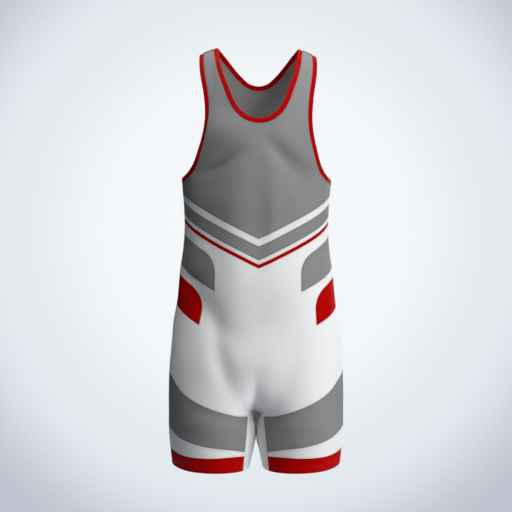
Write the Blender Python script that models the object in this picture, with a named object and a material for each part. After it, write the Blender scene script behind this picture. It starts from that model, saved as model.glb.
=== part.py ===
"""Wrestling singlet, a hollow stretch garment that keeps the shape of wear with nobody in it.

Frame: metres, +Z up, the front faces -Y and the wearer's left is +X. The origin lies midway between the
tops of the two straps, where shoulders hold the garment up.

Every panel is cut flat and then laid on one form. The two cloth coordinates are

    across  round the body: 0 at the centre front, QUARTER at the left side line, 2 * QUARTER at the centre
            back, and on round the right side to 4 * QUARTER, which is the centre front again
    up      up the cloth: the height below the underarm, and above it the length along the cloth, as far as
            RIDGE at the shoulder seam

Panels lie SEAM_GAP apart along their seams.
"""

import bpy
import numpy as np
from mathutils.geometry import delaunay_2d_cdt

# Cloth
WALL = 0.0016
SEAM_GAP = 0.0003

# Meshes: a lattice of staggered rows within each panel, and a row of points close along its edge
MESH_STEP = 0.021
ROW_STEP = 0.87 * MESH_STEP
GUARD_STEP = 0.0060
LATTICE_MARGIN = GUARD_STEP + 0.7 * MESH_STEP
SAME_POINT = 1e-6
SAME_LEVEL = 1e-4

# Levels on the form
UNDERARM = -0.261
BELLY = -0.590
GUSSET_TOP = -0.683
CROTCH = -0.692
LEG_TOP = -0.717
HEM = -0.798

# Form: one row for each level, from the hem up. Below the underarm the front and back spread their cloth each
# in their own way, and over SPREAD_BLEND they come to agree
QUARTER = 0.215
SECTION_POWER = 2.3
GROIN_SOFTNESS = 0.06
LEG_ROUNDNESS = 0.75
LEG_FULLNESS = (1.0 + LEG_ROUNDNESS) ** (1.0 + LEG_ROUNDNESS) / LEG_ROUNDNESS**LEG_ROUNDNESS
SPREAD_BLEND = 0.1
SECTIONS = np.array((
    # level, half_width, front_depth, back_depth
    (-0.798, 0.1600, 0.0885, 0.089),
    (-0.770, 0.1630, 0.0905, 0.093),
    (-0.732, 0.1665, 0.0930, 0.098),
    (-0.693, 0.1670, 0.0965, 0.105),
    (-0.655, 0.1670, 0.101, 0.114),
    (-0.597, 0.1650, 0.107, 0.121),
    (-0.540, 0.1600, 0.109, 0.120),
    (-0.482, 0.1510, 0.107, 0.112),
    (-0.424, 0.1455, 0.103, 0.100),
    (-0.386, 0.1400, 0.101, 0.093),
    (-0.345, 0.1375, 0.101, 0.091),
    (-0.300, 0.1390, 0.104, 0.096),
    (-0.261, 0.1420, 0.105, 0.099),
    (-0.150, 0.1435, 0.104, 0.098),
))

# Inside of the legs: how far the thighs stand from the middle, and where the gusset's seams run
INSIDE_LEG = np.array((
    # level, inner_x, seam_x
    (-0.798, 0.0122, 0.0238),
    (-0.770, 0.0058, 0.0215),
    (-0.744, 0.0009, 0.0190),
    (-0.717, 0.0005, 0.0165),
    (-0.683, 0.0005, 0.0140),
))
GUSSET_SEAM = 0.014
GUSSET_CORNER = 0.5
GUSSET_ROWS = 9
GUSSET_COLUMNS = 11
GUSSET_STEP = 0.0135
SHARE_STEP = 0.002

# Readings taken to measure lengths along the cloth
NORMAL_STEP = 0.0005
ARC_READINGS = 400
SPREAD_LEVELS = 240
SPREAD_COLUMNS = 216

# Shoulders: the ridge falls away outwards from the neck side of the strap
NECK_SIDE = 0.0776
SHOULDER_SLOPE = 0.5
SHOULDER_SOFTNESS = 0.060
ARCH_DEPTH = 0.085

# Neckline, from the centre front over the shoulder to the centre back. Past RIDGE, up runs on down the back
NECK_EDGE = np.array((
    # across, up
    (0.0000, -0.1524),
    (0.0185, -0.1481),
    (0.0345, -0.1362),
    (0.0425, -0.1262),
    (0.0507, -0.1110),
    (0.0600, -0.0872),
    (0.0681, -0.0650),
    (0.0735, -0.0455),
    (0.0776, -0.0262),
    (0.0805, -0.0030),
    (0.0828, 0.0286),
    (0.0784, 0.0440),
    (0.0702, 0.0591),
    (0.0521, 0.0873),
    (0.0340, 0.1097),
    (0.0170, 0.1241),
    (0.0000, 0.1288),
))

# Front half of the armhole, from the side line up to the ridge. The back half mirrors it
ARMHOLE_EDGE = np.array((
    # across, up
    (0.2150, -0.2505),
    (0.1950, -0.2497),
    (0.1760, -0.2475),
    (0.1609, -0.2432),
    (0.1490, -0.2352),
    (0.1359, -0.2205),
    (0.1257, -0.1987),
    (0.1178, -0.1763),
    (0.1125, -0.1536),
    (0.1109, -0.1320),
    (0.1119, -0.1137),
    (0.1151, -0.0879),
    (0.1206, -0.0600),
    (0.1256, -0.0300),
    (0.1271, -0.0050),
    (0.1266, 0.0286),
))

# Binding: a folded tape round the neck and the armholes, a little thicker than the cloth
BINDING_WIDTH = 0.0090
BINDING_HALF_THICKNESS = 0.0013
BINDING_STEP = 0.0150

# Stripes: straight lines in the flat cloth that rise to the sides, turn level there and stay level behind
STRIPE_SLOPE = 0.455
STRIPE_TURN = 0.165
STRIPES = (
    # name, height_at_centre, material
    ("white", -0.3665, "white_knit"),
    ("grey", -0.3804, "grey_knit"),
    ("thin", -0.4055, "white_knit"),
    ("red", -0.4135, "red_knit"),
)
STRIPES_END = -0.4204

# Side insets, whose upper and lower edges run along with the stripes
INSET_CORNER = 0.032
CORNER_STEPS = 4
SIDE_INSETS = (
    # name, top_at_centre, bottom_at_centre, front_edge, material
    ("grey", -0.4414, -0.5010, 0.0845, "grey_knit"),
    ("red", -0.5190, -0.5769, 0.1145, "red_knit"),
)

# Leg bands: each edge climbs from the inner seam to the side line, where it runs level
LEG_SHARES = np.array((0.0, 0.2, 0.4, 0.6, 0.8, 1.0))
LEG_EDGES = {
    # name: heights at the shares of the way from the inner seam to the side line
    "grey_top": (-0.6968, -0.6906, -0.6737, -0.6516, -0.6240, -0.6120),
    "grey_bottom": (-0.7612, -0.7537, -0.7471, -0.7374, -0.7247, -0.7170),
    "hem_top": (-0.7693, -0.7688, -0.7688, -0.7675, -0.7636, -0.7610),
    "hem": (-0.7980, -0.7977, -0.7974, -0.7965, -0.7938, -0.7920),
}

COLOURS = {
    # name: (base colour, roughness)
    "grey_knit": ((0.267, 0.267, 0.267, 1.0), 0.62),
    "white_knit": ((0.80, 0.80, 0.80, 1.0), 0.60),
    "red_knit": ((0.42, 0.002, 0.002, 1.0), 0.60),
    "red_binding": ((0.50, 0.003, 0.003, 1.0), 0.55),
}


# ---------------------------------------------------------------- smooth curves

def smooth_step(share):
    """Ease from 0 to 1."""
    share = np.clip(share, 0.0, 1.0)
    return share * share * (3.0 - 2.0 * share)


def curve_through(knots, values, at):
    """Read a smooth curve that passes through every value."""
    slopes = np.gradient(values, knots)
    at = np.clip(at, knots[0], knots[-1])
    left = np.clip(np.searchsorted(knots, at) - 1, 0, len(knots) - 2)
    span = knots[left + 1] - knots[left]
    t = (at - knots[left]) / span
    rise = values[left + 1] - values[left]
    bend = (1.0 - t) * slopes[left] * span - t * slopes[left + 1] * span
    return values[left] + smooth_step(t) * rise + t * (1.0 - t) * bend


def curve_points(before, table, after, spacing):
    """Points at an even spacing on a smooth curve through a table of points.

    The points before and after it lie beyond its ends, and only give it its direction there.
    """
    table = np.vstack((before, table, after))
    lengths = np.hypot(*np.diff(table, axis=0).T)
    knots = np.concatenate(([0.0], np.cumsum(lengths)))
    count = int(round((knots[-2] - knots[1]) / spacing)) + 1
    at = np.linspace(knots[1], knots[-2], count)
    return np.column_stack([curve_through(knots, values, at) for values in table.T])


def even_steps(start, end, spacing=MESH_STEP):
    """Numbers from start to end, both included, about one spacing apart."""
    count = max(1, int(round(abs(end - start) / spacing)))
    return np.linspace(start, end, count + 1)


# ---------------------------------------------------------------- the form

def half_width(level):
    return curve_through(SECTIONS[:, 0], SECTIONS[:, 1], level)


def full_depth(level, back):
    return curve_through(SECTIONS[:, 0], SECTIONS[:, 3 if back else 2], level)


def inner_x(level):
    return curve_through(INSIDE_LEG[:, 0], INSIDE_LEG[:, 1], level)


def seam_x(level):
    return curve_through(INSIDE_LEG[:, 0], INSIDE_LEG[:, 2], level)


def section_depth(x, level, back):
    """How far the cloth stands before or behind the side line, x out from the middle.

    A leg is a closed oval, which LEG_ROUNDNESS below 1 makes fuller on the inside of the thigh. The trunk is one
    wide oval, and between crotch and belly the two are mixed.
    """
    inner = inner_x(level)
    share = np.clip((x - inner) / (half_width(level) - inner), 0.0, 1.0)
    climb = np.clip((level - CROTCH) / (BELLY - CROTCH), 0.0, 1.0)
    trunk_share = climb * (2.0 - climb)
    soft = GROIN_SOFTNESS * smooth_step((level - LEG_TOP) / (GUSSET_TOP - LEG_TOP))
    inside = np.sqrt(share**2 + soft**2) - soft
    leg = LEG_FULLNESS * inside**LEG_ROUNDNESS * (1.0 - share)
    trunk = (1.0 - share**SECTION_POWER) ** (2.0 / SECTION_POWER)
    square = (1.0 - trunk_share) * leg + trunk_share * trunk
    return full_depth(level, back) * np.sqrt(np.clip(square, 0.0, None))


def shoulder_height(x):
    """Height of the shoulder ridge, 0 at the neck side of the strap."""
    at_neck = np.hypot(NECK_SIDE, SHOULDER_SOFTNESS)
    return -SHOULDER_SLOPE * (np.hypot(x, SHOULDER_SOFTNESS) - at_neck)


def arch_table():
    """Length along the cloth from the underarm to each angle of the arch over the shoulder."""
    angles = np.linspace(0.0, np.pi / 2.0, ARC_READINGS)
    rise = -UNDERARM * np.sin(angles)
    reach = ARCH_DEPTH * np.cos(angles)
    lengths = np.hypot(np.diff(rise), np.diff(reach))
    return angles, np.concatenate(([0.0], np.cumsum(lengths)))


ARCH_ANGLES, ARCH_LENGTHS = arch_table()
RIDGE = UNDERARM + ARCH_LENGTHS[-1]


def section_spread(level, back, columns):
    """Where cloth lengths round a section fall, as shares of its half width."""
    edge = seam_x(level)
    width = half_width(level)
    turn = np.linspace(0.0, np.pi / 2.0, ARC_READINGS)
    x = edge + (width - edge) * np.sin(turn)
    y = section_depth(x, np.full_like(x, level), back)
    length = np.concatenate(([0.0], np.cumsum(np.hypot(np.diff(x), np.diff(y)))))
    across = GUSSET_SEAM + (QUARTER - GUSSET_SEAM) * length / length[-1]
    return np.interp(columns, np.append(0.0, across), np.append(0.0, x)) / width


def spread_tables():
    """Front and back tables of x, by level and across. They agree at the underarm and above it."""
    levels = np.linspace(HEM, UNDERARM, SPREAD_LEVELS)
    columns = np.linspace(0.0, QUARTER, SPREAD_COLUMNS)
    front = np.array([section_spread(level, False, columns) for level in levels])
    rear = np.array([section_spread(level, True, columns) for level in levels])
    common = 0.5 * (front[-1] + rear[-1])
    own = smooth_step((UNDERARM - levels) / SPREAD_BLEND)[:, None]
    return own * front + (1.0 - own) * common, own * rear + (1.0 - own) * common


FRONT_SPREAD, BACK_SPREAD = spread_tables()


def read_table(table, across, level):
    """Read a spread table between its entries."""
    row = np.clip((level - HEM) / (UNDERARM - HEM), 0.0, 1.0) * (table.shape[0] - 1)
    column = np.clip(across / QUARTER, 0.0, 1.0) * (table.shape[1] - 1)
    i = np.minimum(row.astype(int), table.shape[0] - 2)
    j = np.minimum(column.astype(int), table.shape[1] - 2)
    a = row - i
    b = column - j
    low = (1.0 - b) * table[i, j] + b * table[i, j + 1]
    high = (1.0 - b) * table[i + 1, j] + b * table[i + 1, j + 1]
    return (1.0 - a) * low + a * high


def cloth_points(across, up):
    """The outside of the cloth, in metres, at cloth coordinates."""
    across, up = np.broadcast_arrays(np.mod(across, 4.0 * QUARTER), up)
    quarter = np.minimum((across / QUARTER).astype(int), 3)
    back = (quarter == 1) | (quarter == 2)
    from_middle = np.where(back, np.abs(across - 2.0 * QUARTER), np.minimum(across, 4.0 * QUARTER - across))
    level = np.minimum(up, UNDERARM)
    share = np.where(
        back,
        read_table(BACK_SPREAD, from_middle, level),
        read_table(FRONT_SPREAD, from_middle, level),
    )
    x_below = share * half_width(level)
    depth = np.where(
        back,
        section_depth(x_below, level, True),
        section_depth(x_below, level, False),
    )
    x = share * half_width(up)
    angle = np.interp(up - UNDERARM, ARCH_LENGTHS, ARCH_ANGLES)
    arched = UNDERARM + (shoulder_height(x) - UNDERARM) * np.sin(angle)
    z = np.where(up > UNDERARM, arched, up)
    y = depth * np.cos(angle)
    return np.stack((np.where(quarter < 2, x, -x), np.where(back, y, -y), z), axis=-1)


def cloth_normals(across, up):
    """Outward directions of the cloth."""
    step = NORMAL_STEP
    round_body = cloth_points(across + step, up) - cloth_points(across - step, up)
    higher = np.minimum(up + step, RIDGE)
    lower = np.maximum(up - step, HEM)
    up_cloth = cloth_points(across, higher) - cloth_points(across, lower)
    normals = np.cross(round_body, up_cloth)
    return normals / np.linalg.norm(normals, axis=-1, keepdims=True)


def strap_coordinates(points):
    """Cloth coordinates of points whose up runs on over the shoulder and down the back."""
    over = points[:, 1] > RIDGE
    across = np.where(over, 2.0 * QUARTER - points[:, 0], points[:, 0])
    up = np.where(over, 2.0 * RIDGE - points[:, 1], points[:, 1])
    return across, up


def cloth_scale(points):
    """Lengths on the form to a unit of across and to a unit of up, at strap coordinates."""
    across, up = strap_coordinates(points)
    step = NORMAL_STEP
    higher = np.minimum(up + step, RIDGE)
    lower = np.maximum(up - step, HEM)
    round_body = (cloth_points(across + step, up) - cloth_points(across - step, up)) / (2.0 * step)
    up_cloth = (cloth_points(across, higher) - cloth_points(across, lower)) / (higher - lower)[:, None]
    return np.column_stack((np.linalg.norm(round_body, axis=1), np.linalg.norm(up_cloth, axis=1)))


# ---------------------------------------------------------------- seams, in cloth coordinates

def left_of(directions):
    """Unit normals to the left of directions."""
    turned = np.column_stack((-directions[:, 1], directions[:, 0]))
    return turned / np.linalg.norm(turned, axis=1, keepdims=True)


def shifted(line, distance, closed=True, scale=1.0):
    """A line moved to its left, which is inwards for a closed anticlockwise line.

    With cloth_scale as its scale, the distance is a length on the form.
    """
    incoming = scale * (line - np.roll(line, 1, axis=0))
    outgoing = scale * (np.roll(line, -1, axis=0) - line)
    if not closed:
        incoming[0] = outgoing[0]
        outgoing[-1] = incoming[-1]
    middle = left_of(incoming) + left_of(outgoing)
    return line + 2.0 * distance * middle / np.sum(middle**2, axis=1, keepdims=True) / scale


def mirrored(line, middle=0.0):
    """A line mirrored about an across, in the opposite order."""
    return line[::-1] * (-1.0, 1.0) + (2.0 * middle, 0.0)


def joined(*lines):
    """Lines one after the other, with no point twice in a row."""
    points = np.vstack(lines)
    apart = np.linalg.norm(points - np.roll(points, 1, axis=0), axis=1) > SAME_POINT
    return points[apart]


def even_line(start, end):
    """Points along a straight line, about one mesh step apart, both ends included."""
    steps = even_steps(0.0, np.linalg.norm(end - start))[:, None]
    return start + (end - start) * steps / steps[-1]


def stripe_line(height, across):
    """A stripe's edge, height at the centre front, at each across from -QUARTER to 3 * QUARTER."""
    from_front = np.minimum(np.abs(across), QUARTER)
    turning = np.clip(from_front - STRIPE_TURN, 0.0, None)
    rise = STRIPE_SLOPE * (from_front - turning**2 / (2.0 * (QUARTER - STRIPE_TURN)))
    return np.column_stack((across, height + rise))


def leg_line(name, across):
    """An edge of a leg band, at each across from the front gusset seam round to the back one."""
    heights = LEG_EDGES[name]
    from_middle = np.minimum(across, 2.0 * QUARTER - across)
    share = (from_middle - GUSSET_SEAM) / (QUARTER - GUSSET_SEAM)
    beyond = 2.0 - LEG_SHARES[-2]
    height = curve_through(np.append(LEG_SHARES, beyond), np.append(heights, heights[-2]), share)
    return np.column_stack((across, height))


def neck_line(distance):
    """The neck opening moved towards the cloth, anticlockwise from the centre front, in strap coordinates."""
    left = curve_points(mirrored(NECK_EDGE[1:2]), NECK_EDGE, mirrored(NECK_EDGE[-2:-1]), BINDING_STEP)
    line = np.vstack((left, mirrored(left)[1:-1]))
    return shifted(line, -distance, scale=cloth_scale(line))


def armhole_line(distance):
    """The left armhole's opening moved towards the cloth, in strap coordinates.

    It runs from the side line up the front and down the back, and meets the side line square at both ends.
    """
    across_ridge = ARMHOLE_EDGE[-2] * (1.0, -1.0) + (0.0, 2.0 * RIDGE)
    front = curve_points(mirrored(ARMHOLE_EDGE[1:2], QUARTER), ARMHOLE_EDGE, across_ridge, BINDING_STEP)
    back = front[-2::-1] * (1.0, -1.0) + (0.0, 2.0 * RIDGE)
    line = np.vstack((front, back))
    before = mirrored(line[1:2], QUARTER)
    after = mirrored(line[-2:-1], QUARTER)
    line = np.vstack((before, line, after))
    return shifted(line, distance, closed=False, scale=cloth_scale(line))[1:-1]


def below_ridge(line):
    """The stretch of a line before it first crosses the ridge, with its last point on the ridge."""
    first = int(np.argmax(line[:, 1] > RIDGE))
    low, high = line[first - 1], line[first]
    share = (RIDGE - low[1]) / (high[1] - low[1])
    return np.vstack((line[:first], low + share * (high - low)))


def neck_seam_front():
    """Neck seam from the centre front up to the ridge on the left."""
    return below_ridge(neck_line(BINDING_WIDTH))


def neck_seam_back():
    """Neck seam from the centre back up to the ridge on the left."""
    seam = neck_line(BINDING_WIDTH)
    seam = seam[len(seam) // 2::-1]
    return below_ridge(seam * (1.0, -1.0) + (0.0, 2.0 * RIDGE))


def gusset_seam():
    """The gusset's seam on the left leg, from the middle of its blunt upper end down to the hem."""
    turn = np.linspace(0.0, np.pi / 2.0, GUSSET_ROWS)
    across = GUSSET_SEAM * np.sin(turn) ** GUSSET_CORNER
    up = LEG_TOP + (GUSSET_TOP - LEG_TOP) * np.cos(turn) ** GUSSET_CORNER
    straight = even_steps(LEG_TOP, HEM, GUSSET_STEP)[1:]
    return np.vstack((
        np.column_stack((across, up)),
        np.column_stack((np.full_like(straight, GUSSET_SEAM), straight)),
    ))


def stretch(line, top, bottom):
    """The part of a falling line between two heights."""
    heights = -line[:, 1]
    ends = np.array((-top, -bottom))
    between = line[(heights > ends[0] + SAME_LEVEL) & (heights < ends[1] - SAME_LEVEL)]
    across = np.interp(ends, heights, line[:, 0])
    return np.vstack(((across[0], top), between, (across[1], bottom)))


def inset_edge(top, bottom, front_edge):
    """Front half of a side inset: from the side line along its top, round, down and back to the side line."""
    upper = stripe_line(top, even_steps(QUARTER, front_edge + INSET_CORNER))
    corner = stripe_line(top, np.array([front_edge]))[0]
    end = corner - (0.0, INSET_CORNER)
    t = np.linspace(0.0, 1.0, CORNER_STEPS + 1)[1:, None]
    rounded = (1.0 - t) ** 2 * upper[-1] + 2.0 * t * (1.0 - t) * corner + t**2 * end
    lower = stripe_line(bottom, even_steps(front_edge, QUARTER))
    return joined(upper, rounded, even_line(end, lower[0]), lower)


# ---------------------------------------------------------------- outlines, anticlockwise

def yoke_outline(neck, middle):
    """A yoke about its middle across: one half, and the same mirrored."""
    bottom = stripe_line(STRIPES[0][1], even_steps(middle, middle + QUARTER))
    arm = below_ridge(armhole_line(BINDING_WIDTH)) + (middle, 0.0)
    neck = neck[::-1] + (middle, 0.0)
    half = joined(bottom, even_line(bottom[-1], arm[0]), arm, even_line(arm[-1], neck[0]), neck)
    return joined(half, mirrored(half, middle))


def stripe_outline(top, bottom, start):
    """A stripe half way round the body, from one side line to the other."""
    middle = start + QUARTER
    across = np.append(even_steps(start, middle), even_steps(middle, middle + QUARTER)[1:])
    lower = stripe_line(bottom, across)
    upper = stripe_line(top, across)[::-1]
    return joined(lower, even_line(lower[-1], upper[0]), upper, even_line(upper[-1], lower[0]))


def body_side():
    """Side of a body panel, from the stripes down to the leg band, round both side insets."""
    at_side = np.array([QUARTER])
    side = stripe_line(STRIPES_END, at_side)
    for name, top, bottom, front_edge, material in SIDE_INSETS:
        edge = inset_edge(top, bottom, front_edge)
        side = joined(side, even_line(side[-1], edge[0]), edge)
    return joined(side, even_line(side[-1], leg_line("grey_top", at_side)[0]))


def body_outline(middle):
    """A body panel about its middle across: one half, and the same mirrored."""
    leg = leg_line("grey_top", even_steps(GUSSET_SEAM, QUARTER))
    head = stretch(gusset_seam(), GUSSET_TOP, leg[0, 1])
    leg[0] = head[-1]
    top = stripe_line(STRIPES_END, even_steps(middle + QUARTER, middle))
    half = joined(head, leg, body_side()[::-1]) + (middle, 0.0)
    half = joined(half, top)
    return joined(half, mirrored(half, middle))


def leg_outline(upper, lower):
    """A left leg band, from the front gusset seam round the outside to the back one."""
    front = even_steps(GUSSET_SEAM, QUARTER)
    across = np.append(front, 2.0 * QUARTER - front[-2::-1])
    top = leg_line(upper, across)
    bottom = leg_line(lower, across)
    inner = stretch(gusset_seam(), top[0, 1], bottom[0, 1])
    top[0] = inner[0]
    top[-1] = mirrored(inner[:1], QUARTER)[0]
    return joined(bottom, mirrored(inner, QUARTER), top[::-1], inner)


# ---------------------------------------------------------------- solids

def edge_offsets(outline, points):
    """From each point to each edge of a closed outline: how far away it is."""
    edge = np.roll(outline, -1, axis=0) - outline
    offset = points[:, None] - outline
    share = np.clip(np.sum(offset * edge, axis=2) / np.sum(edge**2, axis=1), 0.0, 1.0)
    return np.linalg.norm(offset - share[..., None] * edge, axis=2)


def is_inside(outline, points):
    """Whether each point lies inside a closed outline: a ray from it crosses an odd number of edges."""
    x, y = points[:, 0, None], points[:, 1, None]
    x0, y0 = outline.T
    x1, y1 = np.roll(outline, -1, axis=0).T
    crosses = (y0 > y) != (y1 > y)
    meets = x0 + (y - y0) * (x1 - x0) / np.where(y1 == y0, 1.0, y1 - y0)
    return np.sum(crosses & (x < meets), axis=1) % 2 == 1


def filling_points(outline):
    """Points inside an outline: a row close along its edge and a staggered lattice within."""
    guard = shifted(outline, GUARD_STEP)
    guard = guard[is_inside(outline, guard)]
    guard = guard[edge_offsets(outline, guard).min(axis=1) > 0.9 * GUARD_STEP]
    low, high = outline.min(axis=0), outline.max(axis=0)
    rows = np.arange(low[1], high[1], ROW_STEP)
    lattice = np.array([
        (across + (row % 2) * MESH_STEP / 2.0, up)
        for row, up in enumerate(rows)
        for across in np.arange(low[0], high[0], MESH_STEP)
    ])
    lattice = lattice[is_inside(outline, lattice)]
    lattice = lattice[edge_offsets(outline, lattice).min(axis=1) > LATTICE_MARGIN]
    return np.vstack((guard, lattice))


def add_object(name, points, faces, material):
    """A named piece of the garment, shaded smooth."""
    mesh = bpy.data.meshes.new(name)
    mesh.from_pydata(points.tolist(), [], faces)
    mesh.materials.append(bpy.data.materials[material])
    mesh.shade_smooth()
    piece = bpy.data.objects.new(name, mesh)
    bpy.data.collections["wrestling_singlet"].objects.link(piece)
    return piece


def add_wall(name, outside, normals, faces, material):
    """A piece of cloth: its outside, its lining side and the cut edge between them.

    Both sides stand on the form's own normals, so the edges of neighbouring pieces stay parallel. A Solidify
    modifier would lean each edge out over the seam, into the next piece.
    """
    count = len(outside)
    sides = {(a, b) for face in faces for a, b in zip(face, face[1:] + face[:1])}
    rim = [(b, a, a + count, b + count) for a, b in sorted(sides) if (b, a) not in sides]
    lining = [tuple(corner + count for corner in reversed(face)) for face in faces]
    points = np.vstack((outside, outside - WALL * normals))
    add_object(name, points, faces + lining + rim, material)


def lay_panel(name, outline, material):
    """Cut a panel to its outline, less half the seam gap, and lay it on the form."""
    edge = shifted(outline, SEAM_GAP / 2.0)
    points = np.vstack((edge, filling_points(edge)))
    border = [list(range(len(edge)))]
    flat, unused_edges, faces = delaunay_2d_cdt(points.tolist(), [], border, 1, 0.1 * SAME_POINT)[:3]
    across, up = np.array([tuple(point) for point in flat]).T
    faces = [tuple(face) for face in faces]
    add_wall(name, cloth_points(across, up), cloth_normals(across, up), faces, material)


def lay_pair(name, outline, material):
    """The same panel on the left side and, mirrored about the centre back, on the right side."""
    lay_panel(f"{name}_left", outline, material)
    lay_panel(f"{name}_right", mirrored(outline, 2.0 * QUARTER), material)


def gusset_point(share, turn, level):
    """The outside of the gusset on the left leg.

    share runs from -1 at the front seam to 1 at the back seam. turn runs from 0 in the middle of the crotch
    to a quarter turn at LEG_TOP, and level is LEG_TOP until then. Further down the leg's own oval takes over.
    """
    back = share > 0.0
    sideways = np.sin(turn) ** GUSSET_CORNER
    upwards = np.cos(turn) ** GUSSET_CORNER
    edge_level = level + (GUSSET_TOP - LEG_TOP) * upwards
    inner = inner_x(edge_level)
    x = (inner + (seam_x(edge_level) - inner) * share**2) * sideways
    crown_drop = (CROTCH - GUSSET_TOP) * (1.0 - share**2) * upwards
    own = section_depth(x, edge_level, back)
    crown = abs(share) * section_depth(0.0, GUSSET_TOP, back)
    blend = upwards * (1.0 - share**4)
    y = (1.0 - blend) * own + blend * crown
    return x, y if back else -y, edge_level + crown_drop


def gusset_rows(rows, shares):
    return np.array([[gusset_point(share, turn, level) for share in shares] for turn, level in rows])


def gusset_grid():
    """The outside of the gusset, from the left hem over the crotch to the right hem, and its normals."""
    turns = np.linspace(0.0, np.pi / 2.0, GUSSET_ROWS)
    straight = even_steps(LEG_TOP, HEM, GUSSET_STEP)[1:]
    rows = [(turn, LEG_TOP) for turn in turns] + [(np.pi / 2.0, level) for level in straight]
    shares = np.linspace(-1.0, 1.0, GUSSET_COLUMNS)
    points = gusset_rows(rows, shares)
    round_leg = gusset_rows(rows, shares + SHARE_STEP) - gusset_rows(rows, shares - SHARE_STEP)
    down_leg = np.gradient(points, axis=0)
    down_leg[0] = (1.0, 0.0, 0.0)
    normals = np.cross(round_leg, down_leg)
    normals /= np.linalg.norm(normals, axis=2, keepdims=True)
    seam = shifted(gusset_seam(), -SEAM_GAP / 2.0, closed=False)
    seam[0, 0] = 0.0
    for column, across in ((0, seam[:, 0]), (-1, 2.0 * QUARTER - seam[:, 0])):
        points[:, column] = cloth_points(across, seam[:, 1])
        normals[:, column] = cloth_normals(across, seam[:, 1])
    flip = np.array((-1.0, 1.0, 1.0))
    return (
        np.concatenate((points[::-1], points[1:] * flip)),
        np.concatenate((normals[::-1], normals[1:] * flip)),
    )


def sew_gusset():
    """The strip that lines the inside of both legs and joins them under the crotch."""
    points, normals = gusset_grid()
    rows, columns = points.shape[:2]
    corner = np.arange(rows * columns).reshape(rows, columns)
    faces = np.stack((corner[:-1, :-1], corner[1:, :-1], corner[1:, 1:], corner[:-1, 1:]), axis=-1)
    faces = [tuple(face) for face in faces.reshape(-1, 4).tolist()]
    add_wall("gusset", points.reshape(-1, 3), normals.reshape(-1, 3), faces, "white_knit")


def binding_profile():
    """Section of the folded tape: distance from the opening, and height over the middle of the wall."""
    width = BINDING_WIDTH - SEAM_GAP / 2.0
    upper = (
        # distance, height
        (0.0, 0.35 * BINDING_HALF_THICKNESS),
        (0.0010, BINDING_HALF_THICKNESS),
        (width - 0.0006, BINDING_HALF_THICKNESS),
        (width, 0.6 * BINDING_HALF_THICKNESS),
    )
    lower = [(distance, -height) for distance, height in reversed(upper)]
    return [*upper, *lower]


def bind(name, moved_line):
    """A closed ring of binding. moved_line(distance) is the opening's line moved towards the cloth."""
    loops = []
    for distance, height in binding_profile():
        across, up = strap_coordinates(moved_line(distance))
        lift = height - WALL / 2.0
        loops.append(cloth_points(across, up) + lift * cloth_normals(across, up))
    points = np.stack(loops, axis=1)
    rings, sides = points.shape[:2]
    corner = np.arange(rings * sides).reshape(rings, sides)
    ahead = np.roll(corner, -1, axis=0)
    faces = np.stack((corner, ahead, np.roll(ahead, -1, axis=1), np.roll(corner, -1, axis=1)), axis=-1)
    return add_object(name, points.reshape(-1, 3), faces.reshape(-1, 4).tolist(), "red_binding")


def bind_neck():
    """The neck's line has the cloth on its right, so its ring's faces are turned out afterwards."""
    ring = bind("neck_binding", neck_line)
    ring.data.flip_normals()


def bind_armholes():
    """The right ring is the left one mirrored, with its faces turned out again."""
    bind("armhole_binding_left", lambda distance: armhole_line(distance)[:-1])
    ring = bind("armhole_binding_right", lambda distance: armhole_line(distance)[:-1])
    for vertex in ring.data.vertices:
        vertex.co.x = -vertex.co.x
    ring.data.flip_normals()


def make_materials():
    for name, (colour, roughness) in COLOURS.items():
        material = bpy.data.materials.new(name)
        material.use_nodes = True
        shader = material.node_tree.nodes["Principled BSDF"]
        shader.inputs["Base Color"].default_value = colour
        shader.inputs["Roughness"].default_value = roughness
        shader.inputs["Metallic"].default_value = 0.0


def make_trunk():
    lay_panel("front_yoke", yoke_outline(neck_seam_front(), 0.0), "grey_knit")
    lay_panel("back_yoke", yoke_outline(neck_seam_back(), 2.0 * QUARTER), "grey_knit")
    heights = [top for name, top, material in STRIPES] + [STRIPES_END]
    for (name, top, material), bottom in zip(STRIPES, heights[1:]):
        lay_panel(f"front_band_{name}", stripe_outline(top, bottom, -QUARTER), material)
        lay_panel(f"back_band_{name}", stripe_outline(top, bottom, QUARTER), material)
    lay_panel("front_body", body_outline(0.0), "white_knit")
    lay_panel("back_body", body_outline(2.0 * QUARTER), "white_knit")


def make_side_insets():
    for name, top, bottom, front_edge, material in SIDE_INSETS:
        front = inset_edge(top, bottom, front_edge)
        lay_pair(f"side_{name}", joined(front, mirrored(front, QUARTER)), material)


def make_legs():
    lay_pair("leg_grey", leg_outline("grey_top", "grey_bottom"), "grey_knit")
    lay_pair("leg_white", leg_outline("grey_bottom", "hem_top"), "white_knit")
    lay_pair("hem_red", leg_outline("hem_top", "hem"), "red_knit")
    sew_gusset()


def main():
    for thing in list(bpy.data.objects):
        bpy.data.objects.remove(thing)
    garment = bpy.data.collections.new("wrestling_singlet")
    bpy.context.scene.collection.children.link(garment)
    make_materials()
    make_trunk()
    make_side_insets()
    make_legs()
    bind_neck()
    bind_armholes()


main()
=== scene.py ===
# %% [markdown]
# # A wrestling singlet
#
# A singlet is a tight one-piece of stretch knit: two straps, a deep neck, large armholes and short legs.
# This one is shown as it looks when it is worn, but with nobody in it, so it is a hollow shell with five
# openings.
#
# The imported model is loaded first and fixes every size. It is in metres, +Z is up, the front faces -Y and
# the wearer's left is +X. Each panel of that model is then replaced by a finer one of the same shape.

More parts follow.
